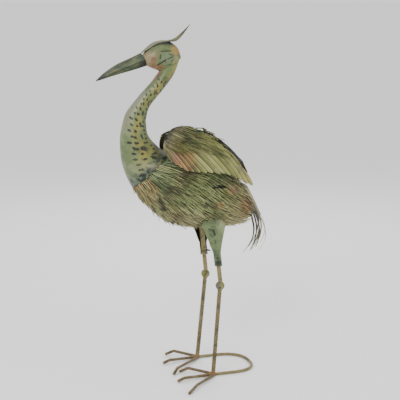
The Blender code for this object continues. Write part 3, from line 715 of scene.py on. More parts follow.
# %% Paint for the breast and the flanks
FLANK_SLOPES = (
    (16.0, (20, 96), (80, 60), 0.07, (184, 170, 112), 1.0),
    (16.0, (-60, 96), (-96, 112), 0.04, (116, 146, 104), 0.8),
    (14.0, (-40, 66), (-66, 36), 0.05, (150, 132, 84), 0.6),
)
FLANK_PATCHES = (
    ((64, 100), 17, 9, (206, 150, 118), 0.85), ((28, 64), 14, 9, (196, 138, 88), 0.75),
    ((50, 98), 6, 12, (180, 184, 84), 0.7), ((104, 58), 20, 24, (176, 120, 72), 0.75),
    ((-40, 30), 60, 22, (146, 116, 90), 0.6),
)
FLANK_MARKS = (
    ((12, 109), (34, 108), 2.2, 0.95), ((30, 112), (46, 107), 2.6, 0.95),
    ((72, 80), (84, 72), 1.6, 0.7), ((-4, 66), (16, 62), 1.3, 0.6),
    ((104, 78), (116, 60), 2.2, 0.7), ((-60, 96), (-36, 92), 1.4, 0.5),
)
BREAST_SLOPES = (
    (25.0, (-134, 98), (-112, 112), 0.03, (124, 146, 96), 1.0),
    (25.0, (-128, 80), (-104, 66), 0.03, (110, 100, 64), 1.0),
)
# The first, wide stroke is painted shadow between the breast's bib and the flank rows.
BREAST_SHADOW_AND_MARKS = (
    ((-118, 84), (-104, 58), 5.0, 0.8), ((-131, 66), (-118, 44), 2.4, 0.6),
    ((-152, 84), (-146, 76), 1.6, 0.5),
)


def feather_paint(name, recipe, dirt=0.45, root=0.42, marks=()):
    """Paint for slit sheet; recipe gives the colour before each tongue's own tint, its painted edge
    highlight and its painted shade; root is how far down the tongue the painted shade at its root
    reaches, and marks are dark strokes laid over them, some of them painted shadow."""
    paint, tree, place = start_paint(name)
    values = {name.title(): value_of(tree, name) for name in ("edge", "down", "strip")}
    colour = use(tree, feathered, Paint=recipe(tree, place), Root=root, **values)["Colour"]
    colour = lay_strokes(tree, place, colour, marks, (10, 12, 6))
    return finish_paint(paint, tree, colour, place, 22.0, dirt, 0.2)


def breast_recipe(tree, place):
    """Tan-orange under the neck, green beside it and darker where the flanks begin."""
    front = slope(tree, place, 30.0, (-176, 122), (-140, 96), 0.03)
    colour = lay(tree, tone(210, 136, 98), front, (176, 150, 92))
    colour = lay(tree, colour, mottle(tree, place, 60.0, 0.5, 0.62), (120, 112, 62))
    return lay_slopes(tree, place, colour, BREAST_SLOPES)


def flank_recipe(tree, place):
    """Two greens, cream towards the rear and patches of pink, orange and yellow."""
    colour = lay(tree, tone(148, 164, 98), mottle(tree, place, 14.0, 0.44, 0.58), (126, 148, 82))
    colour = lay_slopes(tree, place, colour, FLANK_SLOPES)
    return lay_patches(tree, place, colour, FLANK_PATCHES, 40.0)


breast_feathers = feather_paint("breast_paint", breast_recipe, marks=BREAST_SHADOW_AND_MARKS)
flank_feathers = feather_paint("flank_paint", flank_recipe, marks=FLANK_MARKS + BREAST_SHADOW_AND_MARKS)

# %% [markdown]
# The rows start behind the neck's skirt and end at the tail, two rows of fine tongues for each row
# of the frame. Their direction turns from level at the breast to falling at the rear, which is a
# turn of the angle round the body that grows down the tongue.

# %% Wrap the rows round the body
FIRST_ROW = 9.6
CAD_ROWS = 8
BREAST_ROWS = 2
CAD_TONGUE = 0.058
TONGUE_LENGTH = 0.050
TONGUE_WIDTH = 0.0054
TONGUE_LIFT = 0.0068
TONGUE_ARCH = 0.0008
OWN_LIFT = 0.0017
LOOSE_LIFT = 3.6
LOOSE_FROM = 0.86
HEAD_DEPTH = 0.0064
SHEET = 0.0005
SLIT = 0.2
FALLS = ((9.6, -0.12), (12.0, -0.08), (14.0, 0.06), (16.5, 0.19), (20.0, 0.22))
ROWS_EACH = 2
flank_lengths, flank_stations = distances(FIRST_ROW, LAST_STATION)
pitch = (flank_lengths[-1] - CAD_TONGUE) / (CAD_ROWS - 1)


def feather_row(start, seed):
    """One slit row round the whole body whose head lies start metres behind the neck's skirt."""
    draw = random.Random(seed)
    middle = float(np.interp(start + TONGUE_LENGTH / 2, flank_lengths, flank_stations))
    ring = [skin_point(middle, 2 * math.pi * i / 24) for i in range(25)]
    girth = sum((b - a).length for a, b in zip(ring, ring[1:]))
    tongues = max(20, round(girth / TONGUE_WIDTH))
    numbers = [draw.random() for _ in range(tongues)]
    fall = float(np.interp(middle, *zip(*FALLS)))
    shape = []
    for _ in range(tongues):
        longer, lean, lift = draw.uniform(0.82, 1.0), draw.uniform(-1, 1), draw.uniform(-0.6, 1.0)
        lift += LOOSE_LIFT * (draw.random() > LOOSE_FROM)
        shape.append((longer, lean, lift, draw.uniform(0.58, 0.86)))
    bm, spots = comb(tongues, 2, 8, SLIT, numbers)
    edge_value = bm.verts.layers.float["edge"]
    for v, across, down, tongue, local in spots:
        longer, lean, lift, wide = shape[tongue]
        free = max(0.0, (down - SLIT) / (1 - SLIT))
        if free > 0:
            narrow = wide * (1 - 0.65 * free ** 2.2)
            across = (tongue + 0.5 + 0.5 * local * narrow + lean * 0.9 * free ** 1.5) / tongues
        length = start + down * TONGUE_LENGTH * (1 - (1 - longer) * free)
        t = float(np.interp(length, flank_lengths, flank_stations))
        angle = 2 * math.pi * across
        angle += fall * down * math.sin(angle)
        depth = HEAD_DEPTH - TONGUE_LIFT * down ** 1.2 - OWN_LIFT * lift * free ** 2
        # The edge value is turned on the right side, so that the painted highlight lies on each tongue's upper
        # edge and the painted shade on its lower edge.
        v[edge_value] = -local if angle < math.pi else local
        v.co = skin_point(t, angle, depth - TONGUE_ARCH * (1 - local ** 2))
    seam = [v for v, across, down, tongue, local in spots if across in (0.0, 1.0) and down <= SLIT]
    bmesh.ops.remove_doubles(bm, verts=seam, dist=1e-6)
    return bm


def join(parts):
    """Several meshes in one."""
    whole = parts[0]
    for part in parts[1:]:
        copy = bpy.data.meshes.new("part")
        part.to_mesh(copy)
        whole.from_mesh(copy)
        bpy.data.meshes.remove(copy)
        part.free()
    return whole


for row in range(CAD_ROWS):
    starts = [pitch * (row + k / ROWS_EACH) for k in range(ROWS_EACH)]
    starts = [min(s, flank_lengths[-1] - TONGUE_LENGTH * 0.9) for s in starts]
    if row == CAD_ROWS - 1:
        starts = starts[:1]
    bm = join([feather_row(s, 100 * row + k) for k, s in enumerate(starts)])
    centre = (skin_point(12.5 + row, 0.0) + skin_point(12.5 + row, math.pi)) / 2
    face_out(bm, lambda p: p - centre)
    if row < BREAST_ROWS:
        kind, number, paint = "breast_feathers", row + 1, breast_feathers
    else:
        kind, number, paint = "flank_feathers", row + 1 - BREAST_ROWS, flank_feathers
    node = f"{kind}_{number}"
    add_piece(node + "_rows", bm, [paint], kind, [node], SHEET)

# %% [markdown]
# The shell under the feathers only shows in slits and at the rear, so the frame's own solid stays and
# gets a dark paint.

# %% Paint for the shell
body_paint, tree, place = start_paint("shell_paint")
finish_paint(body_paint, tree, tone(52, 54, 32), place, 20.0, 0.6)
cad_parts["body"].data.materials.clear()
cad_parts["body"].data.materials.append(body_paint)

# %% [markdown]
# ## The head
# The head is an egg of sheet, cut off square where the neck and the beak meet it. Rings through its
# upright slices give the egg, and two plane cuts give the seams.

# %% Paint for the head
HEAD_STROKES_AND_CREST_SHADOW = (
    ((-104, 435), (-80, 435.7), 1.5, 0.85), ((-111, 403), (-93, 415), 1.8, 0.95),
    ((-107, 418), (-105, 427), 1.6, 0.85), ((-88, 417), (-76, 421.6), 1.5, 0.85),
    ((-84, 428), (-74, 425.6), 1.2, 0.85), ((-78.5, 412.4), (-77, 412), 1.6, 0.9),
    ((-90, 401.5), (-80, 403.4), 1.2, 0.7), ((-122, 437), (-130, 427), 1.2, 0.35),
    ((-74, 424.2), (-57, 424.2), 0.6, 0.5), ((-98, 411), (-91, 409), 1.0, 0.6),
    # The last three strokes are painted shadow along the crest's edge.
    ((-141, 431), (-122, 446), 1.8, 0.9), ((-122, 446), (-104, 452.5), 2.2, 0.85),
    ((-104, 452.5), (-76, 453.5), 2.4, 0.8),
)
HEAD_PATCHES = (
    ((-130, 418), 17, 20, (166, 144, 104), 0.9), ((-122, 410), 7, 11, (134, 90, 50), 0.6),
    ((-117, 436), 11, 6, (112, 106, 66), 0.6), ((-66, 438), 14, 13, (176, 140, 62), 0.9),
    ((-66, 408), 10, 16, (160, 158, 92), 0.85), ((-91, 420), 17, 13, (122, 142, 104), 0.75),
    ((-116, 397), 18, 7, (150, 88, 54), 0.75),
)
# A band of painted shadow on the crown under the crest.
CREST_SHADOW = ((60.0, (-100, 447), (-99, 455), 0.003, (60, 46, 24), 0.85),)

head_paint, tree, place = start_paint("head_paint")
colour = lay(tree, tone(118, 126, 72), mottle(tree, place, 50.0, 0.44, 0.60), (100, 122, 74))
colour = lay_patches(tree, place, colour, HEAD_PATCHES, 60.0)
colour = lay_slopes(tree, place, colour, CREST_SHADOW)
colour = lay_strokes(tree, place, colour, HEAD_STROKES_AND_CREST_SHADOW, (14, 26, 16))
finish_paint(head_paint, tree, colour, place, 30.0, 0.35)

# %% [markdown]
# Each slice of the head has its place behind the bird's middle, its lowest and highest point and half
# its width. The blank is rolled round the slices, both ends are closed, and the two cuts are made.

# %% Shape the head
HEAD_SLICES = np.array([
    (-50.5, 411, 425, 9), (-57, 399, 442, 18), (-68, 390, 452, 24), (-83, 385, 458.5, 27.5),
    (-98, 386, 459.6, 28), (-113, 391, 454.8, 26), (-127, 397, 444.5, 22), (-138, 403, 432, 16),
    (-145, 410, 424, 9),
])
NECK_SEAM = ((-103, 387), (-51, 417))
BEAK_SEAM = ((-133, 400), (-147, 431))
SEAM_GAP = 0.0003


def cut_off(bm, seam, turn):
    """Cuts a closed mesh along a seam of the side view and closes it; turn tells which side goes."""
    a, b = form(0, *seam[0]), form(0, *seam[1])
    run = (b - a).normalized()
    away = Vector((0, run.z, -run.y)) * turn
    geometry = bm.verts[:] + bm.edges[:] + bm.faces[:]
    spot = a - away * SEAM_GAP
    cut = bmesh.ops.bisect_plane(bm, geom=geometry, plane_co=spot, plane_no=away, clear_outer=True)
    rim = [g for g in cut["geom_cut"] if isinstance(g, bmesh.types.BMEdge)]
    bmesh.ops.holes_fill(bm, edges=rim, sides=0)


def head_point(x, y):
    """A point of the egg: x goes round from the crown, y from the rear slice to the front one."""
    place_y, low, high, half = along(HEAD_SLICES, y * (len(HEAD_SLICES) - 1))
    angle = 2 * math.pi * x
    return form(half * math.sin(angle), place_y, (low + high) / 2 + (high - low) / 2 * math.cos(angle))


bm = roll_up(blank(64, 48), head_point, caps=True)
cut_off(bm, NECK_SEAM, 1)
cut_off(bm, BEAK_SEAM, -1)
bmesh.ops.recalc_face_normals(bm, faces=bm.faces[:])
add_piece("head_shell", bm, [head_paint], "head_paint", ["head"])

# %% [markdown]
# ## The beak
# The beak is a folded sheet with a ridge along the top, the bottom and each side. It starts as a
# blank too, rolled into a pointed square whose sides bow out a little.

# %% Fold the beak
BEAK_STROKES = (
    ((-146, 430), (-250, 374), 1.3, 0.7), ((-134, 401), (-238, 370), 1.5, 0.7),
)
BEAK_SLOPES = (
    (50.0, (-222, 385), (-246, 374), 0.006, (26, 32, 24), 1.0),
    (50.0, (-150, 422), (-138, 416), 0.003, (40, 46, 30), 1.0),
)
BEAK_OVER = np.array([(-147, 431), (-176, 418), (-207, 404.5), (-236, 386), (-256.5, 368)])
BEAK_UNDER = np.array([(-133, 400), (-168, 390), (-205, 380.5), (-238, 371), (-256, 366)])
BEAK_HALVES = np.array([[13.5], [11], [8], [4.5], [0.9]])
FOLD = 1.115

beak_paint, tree, place = start_paint("beak_paint")
colour = lay(tree, tone(92, 104, 66), mottle(tree, place, 40.0, 0.48, 0.62, (1, 0.35, 1)), (52, 76, 56))
colour = lay(tree, colour, mottle(tree, place, 90.0, 0.54, 0.66, (1, 0.25, 1)), (120, 112, 66), 0.8)
colour = lay_strokes(tree, place, colour, [((-140, 416), (-252, 368), 1.0, 0.85)], (22, 30, 24))
colour = lay_strokes(tree, place, colour, BEAK_STROKES, (26, 36, 26))
colour = lay_slopes(tree, place, colour, BEAK_SLOPES)
finish_paint(beak_paint, tree, colour, place, 30.0, 0.4)


def beak_point(x, y):
    """A point of the beak: x goes round from the top ridge, y from the base to the tip."""
    over, under = along(BEAK_OVER, y * 4), along(BEAK_UNDER, y * 4)
    half = along(BEAK_HALVES, y * 4)[0]
    c, s = math.cos(2 * math.pi * x), math.sin(2 * math.pi * x)
    rise = math.copysign(abs(c) ** (2 / FOLD), c)
    side = math.copysign(abs(s) ** (2 / FOLD), s)
    spot = (over + under) / 2 + (over - under) / 2 * rise
    return form(half * side, *spot)


bm = roll_up(blank(48, 40), beak_point, caps=True)
add_piece("beak_fold", bm, [beak_paint], "beak_paint", ["beak"], sharp=30)

# %% [markdown]
# ## The crest
# One pointed strip lies arched over the crown and sticks out behind as a plume.

# %% Bend the crest
CREST_SLOPES = (
    (40.0, (-100, 460), (-40, 478), 0.01, (112, 106, 62), 1.0),
    (40.0, (-62, 466), (-34, 488), 0.006, (58, 60, 48), 1.0),
)
CREST_LINE = np.array([
    (-146, 432.5, 3, 3), (-130, 446.5, 9, 6), (-115, 456.3, 12, 5.4), (-98, 461, 13, 4.8),
    (-77, 461.8, 12, 4.8), (-61, 466.5, 9.5, 8), (-45, 479, 6, 7), (-25, 497, 0.8, 0.5),
])

crest_paint, tree, place = start_paint("crest_paint")
colour = lay_slopes(tree, place, tone(142, 142, 112), CREST_SLOPES)
finish_paint(crest_paint, tree, colour, place, 30.0, 0.5)


def crest_point(x, y):
    """A point of the strip: x across it, y from the beak's seam to the plume's tip."""
    place_y, place_z, half, arch = along(CREST_LINE, y * (len(CREST_LINE) - 1))
    side = 2 * x - 1
    return form(half * side, place_y, place_z - arch * side ** 2)


bm = blank(14, 70)
for v in bm.verts:
    v.co = crest_point(v.co.x, v.co.y)
face_out(bm, lambda p: Vector((0, -0.3, 1)))
add_piece("crest_strip", bm, [crest_paint, inside_paint], "crest_paint", ["crest"], 0.0008)

# %% [markdown]
# ## The wings
# A wing is a domed sheet. Its lower edge is cut into long feathers, each pressed with a channel, and
# rows of slit sheet lie over its upper part. The dome is given by its upper and its lower edge in
# the side view and by how far each stands from the middle plane. The right wing is the same sheet
# mirrored, and sits a little turned up and further back, as on a hand-made bird.

# %% The wing's dome
WING_TOP = np.array([
    (-107, 218, 42), (-99, 234, 28), (-88, 243, 20), (-73, 250, 16), (-43, 254, 15), (4, 235.5, 15),
    (33, 216, 15), (50, 203, 15), (67, 184, 15), (84, 165, 16), (102, 145, 19), (119, 128, 25),
    (128, 109, 36),
])
WING_LOW = np.array([
    (-107, 214, 43), (-106, 203, 47), (-102, 189, 51), (-97, 180, 54), (-86, 169, 58), (-72, 159, 62),
    (-55, 152, 65), (-38, 147, 68), (-17, 144, 70), (5, 143, 71), (52, 134, 70), (76, 125, 66),
    (100, 111, 58), (124, 99, 46),
])
WING_ROOTS = np.array([(-106, 204), (-105, 217), (-98, 232), (-86, 242), (-66, 250), (-34, 250), (0, 236)])
WING_TIPS = np.array([
    (-97, 182), (-71, 162), (-42, 149), (-8, 143.5), (26, 141.5), (58, 132), (90, 117.5), (124, 101.5),
])
RIM_SLOPE = math.sin(math.radians(84.3))
HINGE = (-100, 215)
RIGHT_TURN = Matrix.Rotation(math.radians(4.5), 4, "X")
RIGHT_SHIFT = Vector((0, 14.0, -5.5)) * MM
TOP_FINE = np.array([along(WING_TOP, t) for t in np.linspace(0, len(WING_TOP) - 1, 80)])
LOW_FINE = np.array([along(WING_LOW, t) for t in np.linspace(0, len(WING_LOW) - 1, 80)])


def nearest(y, z, fine):
    """How near an edge of the dome is, and how far that edge stands from the middle plane."""
    gaps = np.hypot(fine[:, 0] - y, fine[:, 1] - z)
    weights = (gaps + 1.0) ** -3.0
    return float(gaps.min()), float((fine[:, 2] * weights).sum() / weights.sum())


def wing_x(y, z):
    """How far the dome stands from the middle plane at a point of the side view."""
    to_top, top_x = nearest(y, z, TOP_FINE)
    to_low, low_x = nearest(y, z, LOW_FINE)
    rise = RIM_SLOPE * to_low / (to_top + to_low + 1e-6)
    return top_x + (low_x - top_x) * math.sqrt(1.0 - rise ** 2)


def wing_point(side, y, z, lift):
    """A point on a wing, lift metres above its dome; side is 1 for the left wing."""
    step = 2.0
    lean_y = -(wing_x(y + step, z) - wing_x(y - step, z)) / (2 * step)
    lean_z = -(wing_x(y, z + step) - wing_x(y, z - step)) / (2 * step)
    outward = Vector((1.0, min(1.5, max(-1.5, lean_y)), min(2.0, max(-2.0, lean_z)))).normalized()
    spot = form(wing_x(y, z), y, z) + outward * lift
    if side < 0:
        hinge = form(0, *HINGE)
        spot = hinge + RIGHT_TURN @ (spot - hinge) + RIGHT_SHIFT
        spot.x = 2 * BIRD.x - spot.x
    return spot


print("dome at its middle:", round(wing_x(0, 190), 1), "mm from the middle plane")

# %% [markdown]
# The long feathers run from pink at the front over orange to yellow-green. The rows over them are
# two yellow-greens, browner at the shoulder. Both use the feather effect, so their edges are worn.

# %% Paint for the wings
WING_SLOPES = (
    (14.0, (-96, 190), (-52, 172), 0.02, (186, 134, 72), 1.0),
    (14.0, (-52, 172), (-20, 160), 0.02, (158, 160, 78), 1.0),
    (14.0, (60, 130), (96, 118), 0.02, (176, 160, 84), 1.0),
    (14.0, (-62, 214), (-86, 222), 0.008, (158, 152, 100), 1.0),
)
COVERT_SLOPES = ((16.0, (-50, 214), (-80, 222), 0.01, (164, 150, 96), 1.0),)


def wing_recipe(tree, place):
    """Pink at the front, then orange, then yellow-green, and paler at the shoulder."""
    return lay_slopes(tree, place, tone(172, 116, 104), WING_SLOPES)


def covert_recipe(tree, place):
    """Two yellow-greens, browner at the shoulder."""
    colour = lay(tree, tone(160, 164, 92), mottle(tree, place, 18.0, 0.44, 0.58), (128, 140, 80))
    return lay_slopes(tree, place, colour, COVERT_SLOPES)


wing_paint = feather_paint("wing_paint", wing_recipe, 0.35, 0.05)
covert_paint = feather_paint("covert_paint", covert_recipe, 0.5, 0.5)

# %% [markdown]
# The base sheet is a comb whose roots lie along the upper rim and whose tips lie along the lower
# edge. Each long feather has a ridge pressed near one edge. The covert rows are combs too: five rows
# of heads across the upper wing, each row a little lower and lying a little closer to the dome.

# %% Shape both wings
LONG_FEATHERS = 15
FEATHER_TIP = 1.06
WING_SLIT = 0.30
CHANNEL = 0.0013
BULGE = np.array((13.5, 11.5))
RIM_RAISE = {1: 5.5, -1: -7.5}
RIM_FROM = 225
RIM_RUN = 20


def raised(side, z):
    """The height of a place near the wing's upper rim; the left wing's rim stands higher."""
    return z + RIM_RAISE[side] * min(1.0, max(0.0, (z - RIM_FROM) / RIM_RUN))


def long_feathers(side):
    """The base sheet of a wing, slit into long feathers with round tips."""
    draw = random.Random(31)
    numbers = [draw.random() for _ in range(LONG_FEATHERS)]
    ends = [draw.uniform(0.95, 1.0) for _ in range(LONG_FEATHERS)]
    bm, spots = comb(LONG_FEATHERS, 8, 34, WING_SLIT, numbers)
    for v, across, down, feather, local in spots:
        free = max(0.0, (down - WING_SLIT) / (1 - WING_SLIT))
        rounded = math.sqrt(max(0.0, 1 - max(0.0, (free - 0.92) / 0.08) ** 2))
        share = (0.97 - (1 - FEATHER_TIP) * free ** 1.5) * (0.45 + 0.55 * rounded)
        across = (feather + 0.5 + 0.5 * local * (share if free else 1.0)) / LONG_FEATHERS
        down *= 1 - (1 - ends[feather]) * free
        root = along(WING_ROOTS, across * (len(WING_ROOTS) - 1))
        tip = along(WING_TIPS, across * (len(WING_TIPS) - 1))
        y, z = root + (tip - root) * down + BULGE * 4 * down * (1 - down) * across ** 3
        pressed = math.cos(3 * math.pi * local) * 0.4 + 0.5 * local + 0.5
        ridge = CHANNEL * min(1.0, down / WING_SLIT) * pressed
        v.co = wing_point(side, y, raised(side, z), 0.0006 + ridge)
    return bm


COVERT_ROWS = (
    (((-99, 230), (-90, 239), (-70, 247), (-40, 251), (-8, 242)), 0.050, 0.0052, (-28, -20, -18)),
    (((-102, 224), (-88, 233), (-62, 239), (-24, 238), (4, 230)), 0.050, 0.0047, (-30, -23, -22)),
    (((-103, 219), (-87, 226), (-56, 229), (-16, 226), (14, 217)), 0.050, 0.0042, (-31, -26, -25)),
    (((-103, 214), (-84, 219), (-50, 219), (-8, 213), (24, 204)), 0.048, 0.0037, (-31, -29, -29)),
    (((-101, 209), (-80, 212), (-44, 209), (-2, 203), (34, 192)), 0.044, 0.0032, (-31, -32, -33)),
)
COVERT_GROUPS = ((0, 1), (2, 3), (4,))
COVERT_WIDTH = 0.0054
COVERT_SLIT = 0.25
COVERT_LIFT = 0.0036
COVERT_ARCH = 0.0005


def covert_row(side, row, seed):
    """One slit row on a wing, its tongues pointing back and down."""
    heads, length, lift, turns = COVERT_ROWS[row]
    heads = np.array(heads, float)
    width = np.linalg.norm(np.diff(heads, axis=0), axis=1).sum() * MM
    tongues = round(width / COVERT_WIDTH)
    draw = random.Random(seed)
    numbers = [draw.random() for _ in range(tongues)]
    ranges = ((0.80, 1.0), (-1, 1), (-0.5, 1), (0.48, 0.72))
    shape = [[draw.uniform(*limits) for limits in ranges] for _ in range(tongues)]
    bm, spots = comb(tongues, 2, 8, COVERT_SLIT, numbers)
    for v, across, down, tongue, local in spots:
        longer, skew, rise, wide = shape[tongue]
        free = max(0.0, (down - COVERT_SLIT) / (1 - COVERT_SLIT))
        if free > 0:
            narrow = wide * (1 - 0.6 * free ** 2.2)
            across = (tongue + 0.5 + 0.5 * local * narrow + skew * 0.7 * free ** 1.5) / tongues
        reach = down * (1 - (1 - longer) * free)
        turn = math.radians(float(np.interp(across, (0.0, 0.35, 1.0), turns)))
        lean = np.array((math.cos(turn), math.sin(turn))) * length / MM
        y, z = along(heads, across * (len(heads) - 1)) + lean * reach
        height = lift + COVERT_LIFT * down ** 1.2 + 0.0009 * rise * free ** 2
        v.co = wing_point(side, y, raised(side, z), height + COVERT_ARCH * (1 - local ** 2))
    return bm


for name, side in SIDES:
    outward = Vector((side, 0, 0.6))
    bm = long_feathers(side)
    face_out(bm, lambda p: outward)
    add_piece(f"wing_{name}_sheet", bm, [wing_paint, inside_paint], "wing_paint", [f"wing_{name}"], 0.0007)
    for k, rows in enumerate(COVERT_GROUPS, 1):
        bm = join([covert_row(side, row, 200 + row) for row in rows])
        face_out(bm, lambda p: outward)
        node = f"wing_{name}_coverts_{k}"
        add_piece(f"wing_{name}_rows_{k}", bm, [covert_paint], "covert_feathers", [node], SHEET)

# %% [markdown]
# ## The tail
# The tail is one curved sheet from under the wing tips, slit below into strips that hang in two
# layers, cross each other and curl.

# %% Bend the tail
TAIL_LINE = np.array([
    (108, 106, 26), (122, 97, 31), (138, 68, 34), (152, 38, 34), (165, 12, 31), (172, -10, 27),
    (172, -31, 24), (165, -50, 21), (154, -68, 18),
])
TAIL_STRIPS = 13
TAIL_SLIT = 0.42
TAIL_ARCH = 11.0
TAIL_INNER = 24.0
TAIL_CURL = 5.0


def tail_recipe(tree, place):
    """Tan above, brown below, and rust on some of the strips."""
    fall = slope(tree, place, 20.0, (140, 70), (160, 20), 0.03)
    colour = lay(tree, tone(148, 138, 92), fall, (128, 84, 46))
    low = slope(tree, place, 20.0, (150, 44), (165, 10), 0.02)
    rust = both(tree, fade(tree, value_of(tree, "strip"), 0.5, 0.7), low)
    colour = lay(tree, colour, rust, (150, 78, 36), 0.9)
    return lay(tree, colour, mottle(tree, place, 26.0, 0.52, 0.62), (104, 104, 56))


def tail_sheet():
    """The curved cover sheet with its strips, each pushed inwards and curled by its own amount."""
    draw = random.Random(77)
    numbers = [draw.random() for _ in range(TAIL_STRIPS)]
    ranges = ((0.84, 1.0), (-1, 1), (0.0, 1.0), (-1, 1))
    shape = [[draw.uniform(*limits) for limits in ranges] for _ in range(TAIL_STRIPS)]
    bm, spots = comb(TAIL_STRIPS, 3, 40, TAIL_SLIT, numbers)
    for v, across, down, strip, local in spots:
        longer, lean, inner, curl = shape[strip]
        free = max(0.0, (down - TAIL_SLIT) / (1 - TAIL_SLIT))
        down *= 1 - (1 - longer) * free
        narrow = 0.92 - 0.35 * free ** 2 if free else 1.0
        across = (strip + 0.5 + 0.5 * local * narrow + lean * 1.6 * free ** 1.5) / TAIL_STRIPS
        y, z, half = along(TAIL_LINE, down * (len(TAIL_LINE) - 1))
        side = 2 * across - 1
        y -= TAIL_ARCH * side ** 2 + TAIL_INNER * inner * free ** 0.6
        y += TAIL_CURL * math.sin(3.0 * free + 3.0 * curl) * free
        v.co = form(half * side, y, z - TAIL_ARCH * side ** 2)
    face_out(bm, lambda p: Vector((0, 1, 0.3)))
    return bm


tail_paint = feather_paint("tail_paint", tail_recipe, 0.5, 0.1)
add_piece("tail_strips", tail_sheet(), [tail_paint, inside_paint], "tail_paint", ["tail"], 0.0007)

# %% [markdown]
# ## The thighs
# Each thigh is half a cone of sheet, wide and flat where it meets the belly and snug round the
# socket tube below. It is open on its inner side. The belly's height over any point tells where its
# upper edge ends.

# %% Paint for the thighs
# Painted light and shade on the thigh: paler at its rear edge, darker at its front edge and at its top under
# the belly.
THIGH_LIGHT_AND_SHADE = (
    (30.0, (34, -20), (44, -18), 0.01, (156, 170, 112), 1.0),
    (30.0, (4, -30), (-6, -34), 0.008, (62, 80, 48), 0.7),
    (30.0, (16, 14), (16, 26), 0.01, (70, 78, 44), 0.6),
)
SMUDGE = (28, 36, 22)
THIGH_PATCHES = (
    ((14, 2), 10, 12, SMUDGE, 0.35), ((28, -80), 9, 8, SMUDGE, 0.95), ((25, -68), 5, 5, SMUDGE, 0.8),
)
THIGH_STROKES = (
    ((2, 6), (12, 3), 1.8, 0.7), ((13, 3), (17, -9), 2.6, 0.85), ((5, -6), (12, -13), 1.6, 0.6),
    ((17, -22), (20, -30), 1.8, 0.6), ((8, 14), (18, 12), 1.4, 0.5),
)

thigh_paint, tree, place = start_paint("thigh_paint")
colour = lay(tree, tone(116, 136, 84), mottle(tree, place, 18.0, 0.46, 0.60), (92, 116, 72))
colour = lay_slopes(tree, place, colour, THIGH_LIGHT_AND_SHADE)
colour = lay_patches(tree, place, colour, THIGH_PATCHES, 120.0)
colour = lay_strokes(tree, place, colour, THIGH_STROKES, (14, 20, 10))
finish_paint(thigh_paint, tree, colour, place, 20.0, 0.4)

# %% [markdown]
# The upper legs lean back a little, and each thigh is wrapped round its own leg. Rods, sockets and
# twisted bars all come from one tube along a line of points, whose radius may change on the way and
# round the bar, so a square bar is a tube whose radius grows towards its four edges.

# %% Thigh sheets, rods and bars
LEG_ROD = 0.0110
BAR_FLAT = 0.88
SOCKET_RIM = 0.00745
HIP_UP = Vector((0, math.tan(math.radians(-6.4)), 1))
HIP_LOW = 0.281
HIP_TOP = 0.392
HIP_BACK = 0.002
COLLAR = 0.013
ANKLE = (0.067, 0.013)
THIGH_WRAP = math.radians(97)
THIGH_FRONT = 0.0295
THIGH_REAR = 0.0315
THIGH_DEPTH = 0.013
under_angles = np.linspace(math.pi / 2, math.pi, 25)
belly_points = [skin_point(t, a) for t in np.arange(11.0, LAST_STATION, 0.25) for a in under_angles]
belly_x = np.array([p.x - BIRD.x for p in belly_points])
belly_y = np.array([p.y for p in belly_points])
belly_z = np.array([p.z for p in belly_points])


def belly_above(x, y):
    """The height of the feathered belly over a point of the floor."""
    return float(belly_z[np.argmin(np.hypot(belly_x - abs(x - BIRD.x), belly_y - y))])


def leg_places(side):
    """The ankle, the knee's middle and the direction of the upper leg."""
    ankle = BIRD + Vector((side * ANKLE[0], ANKLE[1], 0))
    knee = BIRD + Vector((side * KNEE.x, KNEE.y, KNEE.z))
    up = (HIP_UP + Vector(((knee.x - ankle.x) / KNEE.z, 0, 0))).normalized()
    return ankle, knee, up


def thigh_sheet(side):
    """A thigh's half cone, from just under the belly's feathers down to the socket's rim."""
    ankle, knee, up = leg_places(side)
    foot = knee + Vector((0, HIP_BACK, 0))
    top = foot + up * ((HIP_TOP - KNEE.z) / up.z)
    low = foot + up * ((HIP_LOW - KNEE.z) / up.z)
    snug = SOCKET_RIM + 0.0014
    bm = blank(48, 40)
    for v in bm.verts:
        angle = THIGH_WRAP * (2 * v.co.x - 1)
        down = v.co.y
        flare = max(0.0, 1 - down / 0.7) ** 1.08
        half = snug + ((THIGH_REAR if angle > 0 else THIGH_FRONT) - snug) * flare
        depth = snug + (THIGH_DEPTH - snug) * flare
        middle = top + (low - top) * down
        x = middle.x + side * (depth + 0.0006) * math.cos(angle)
        y = middle.y + (half + 0.0006) * math.sin(angle)
        z_top = belly_above(x, y) - 0.0026
        v.co = Vector((x, y, z_top + (HIP_LOW - z_top) * down))
    inner = [v for v in bm.verts if not v.is_boundary]
    bmesh.ops.smooth_vert(bm, verts=inner, factor=0.5, use_axis_x=True, use_axis_y=True, use_axis_z=True)
    face_out(bm, lambda p: Vector((side, 0, 0)))
    return bm


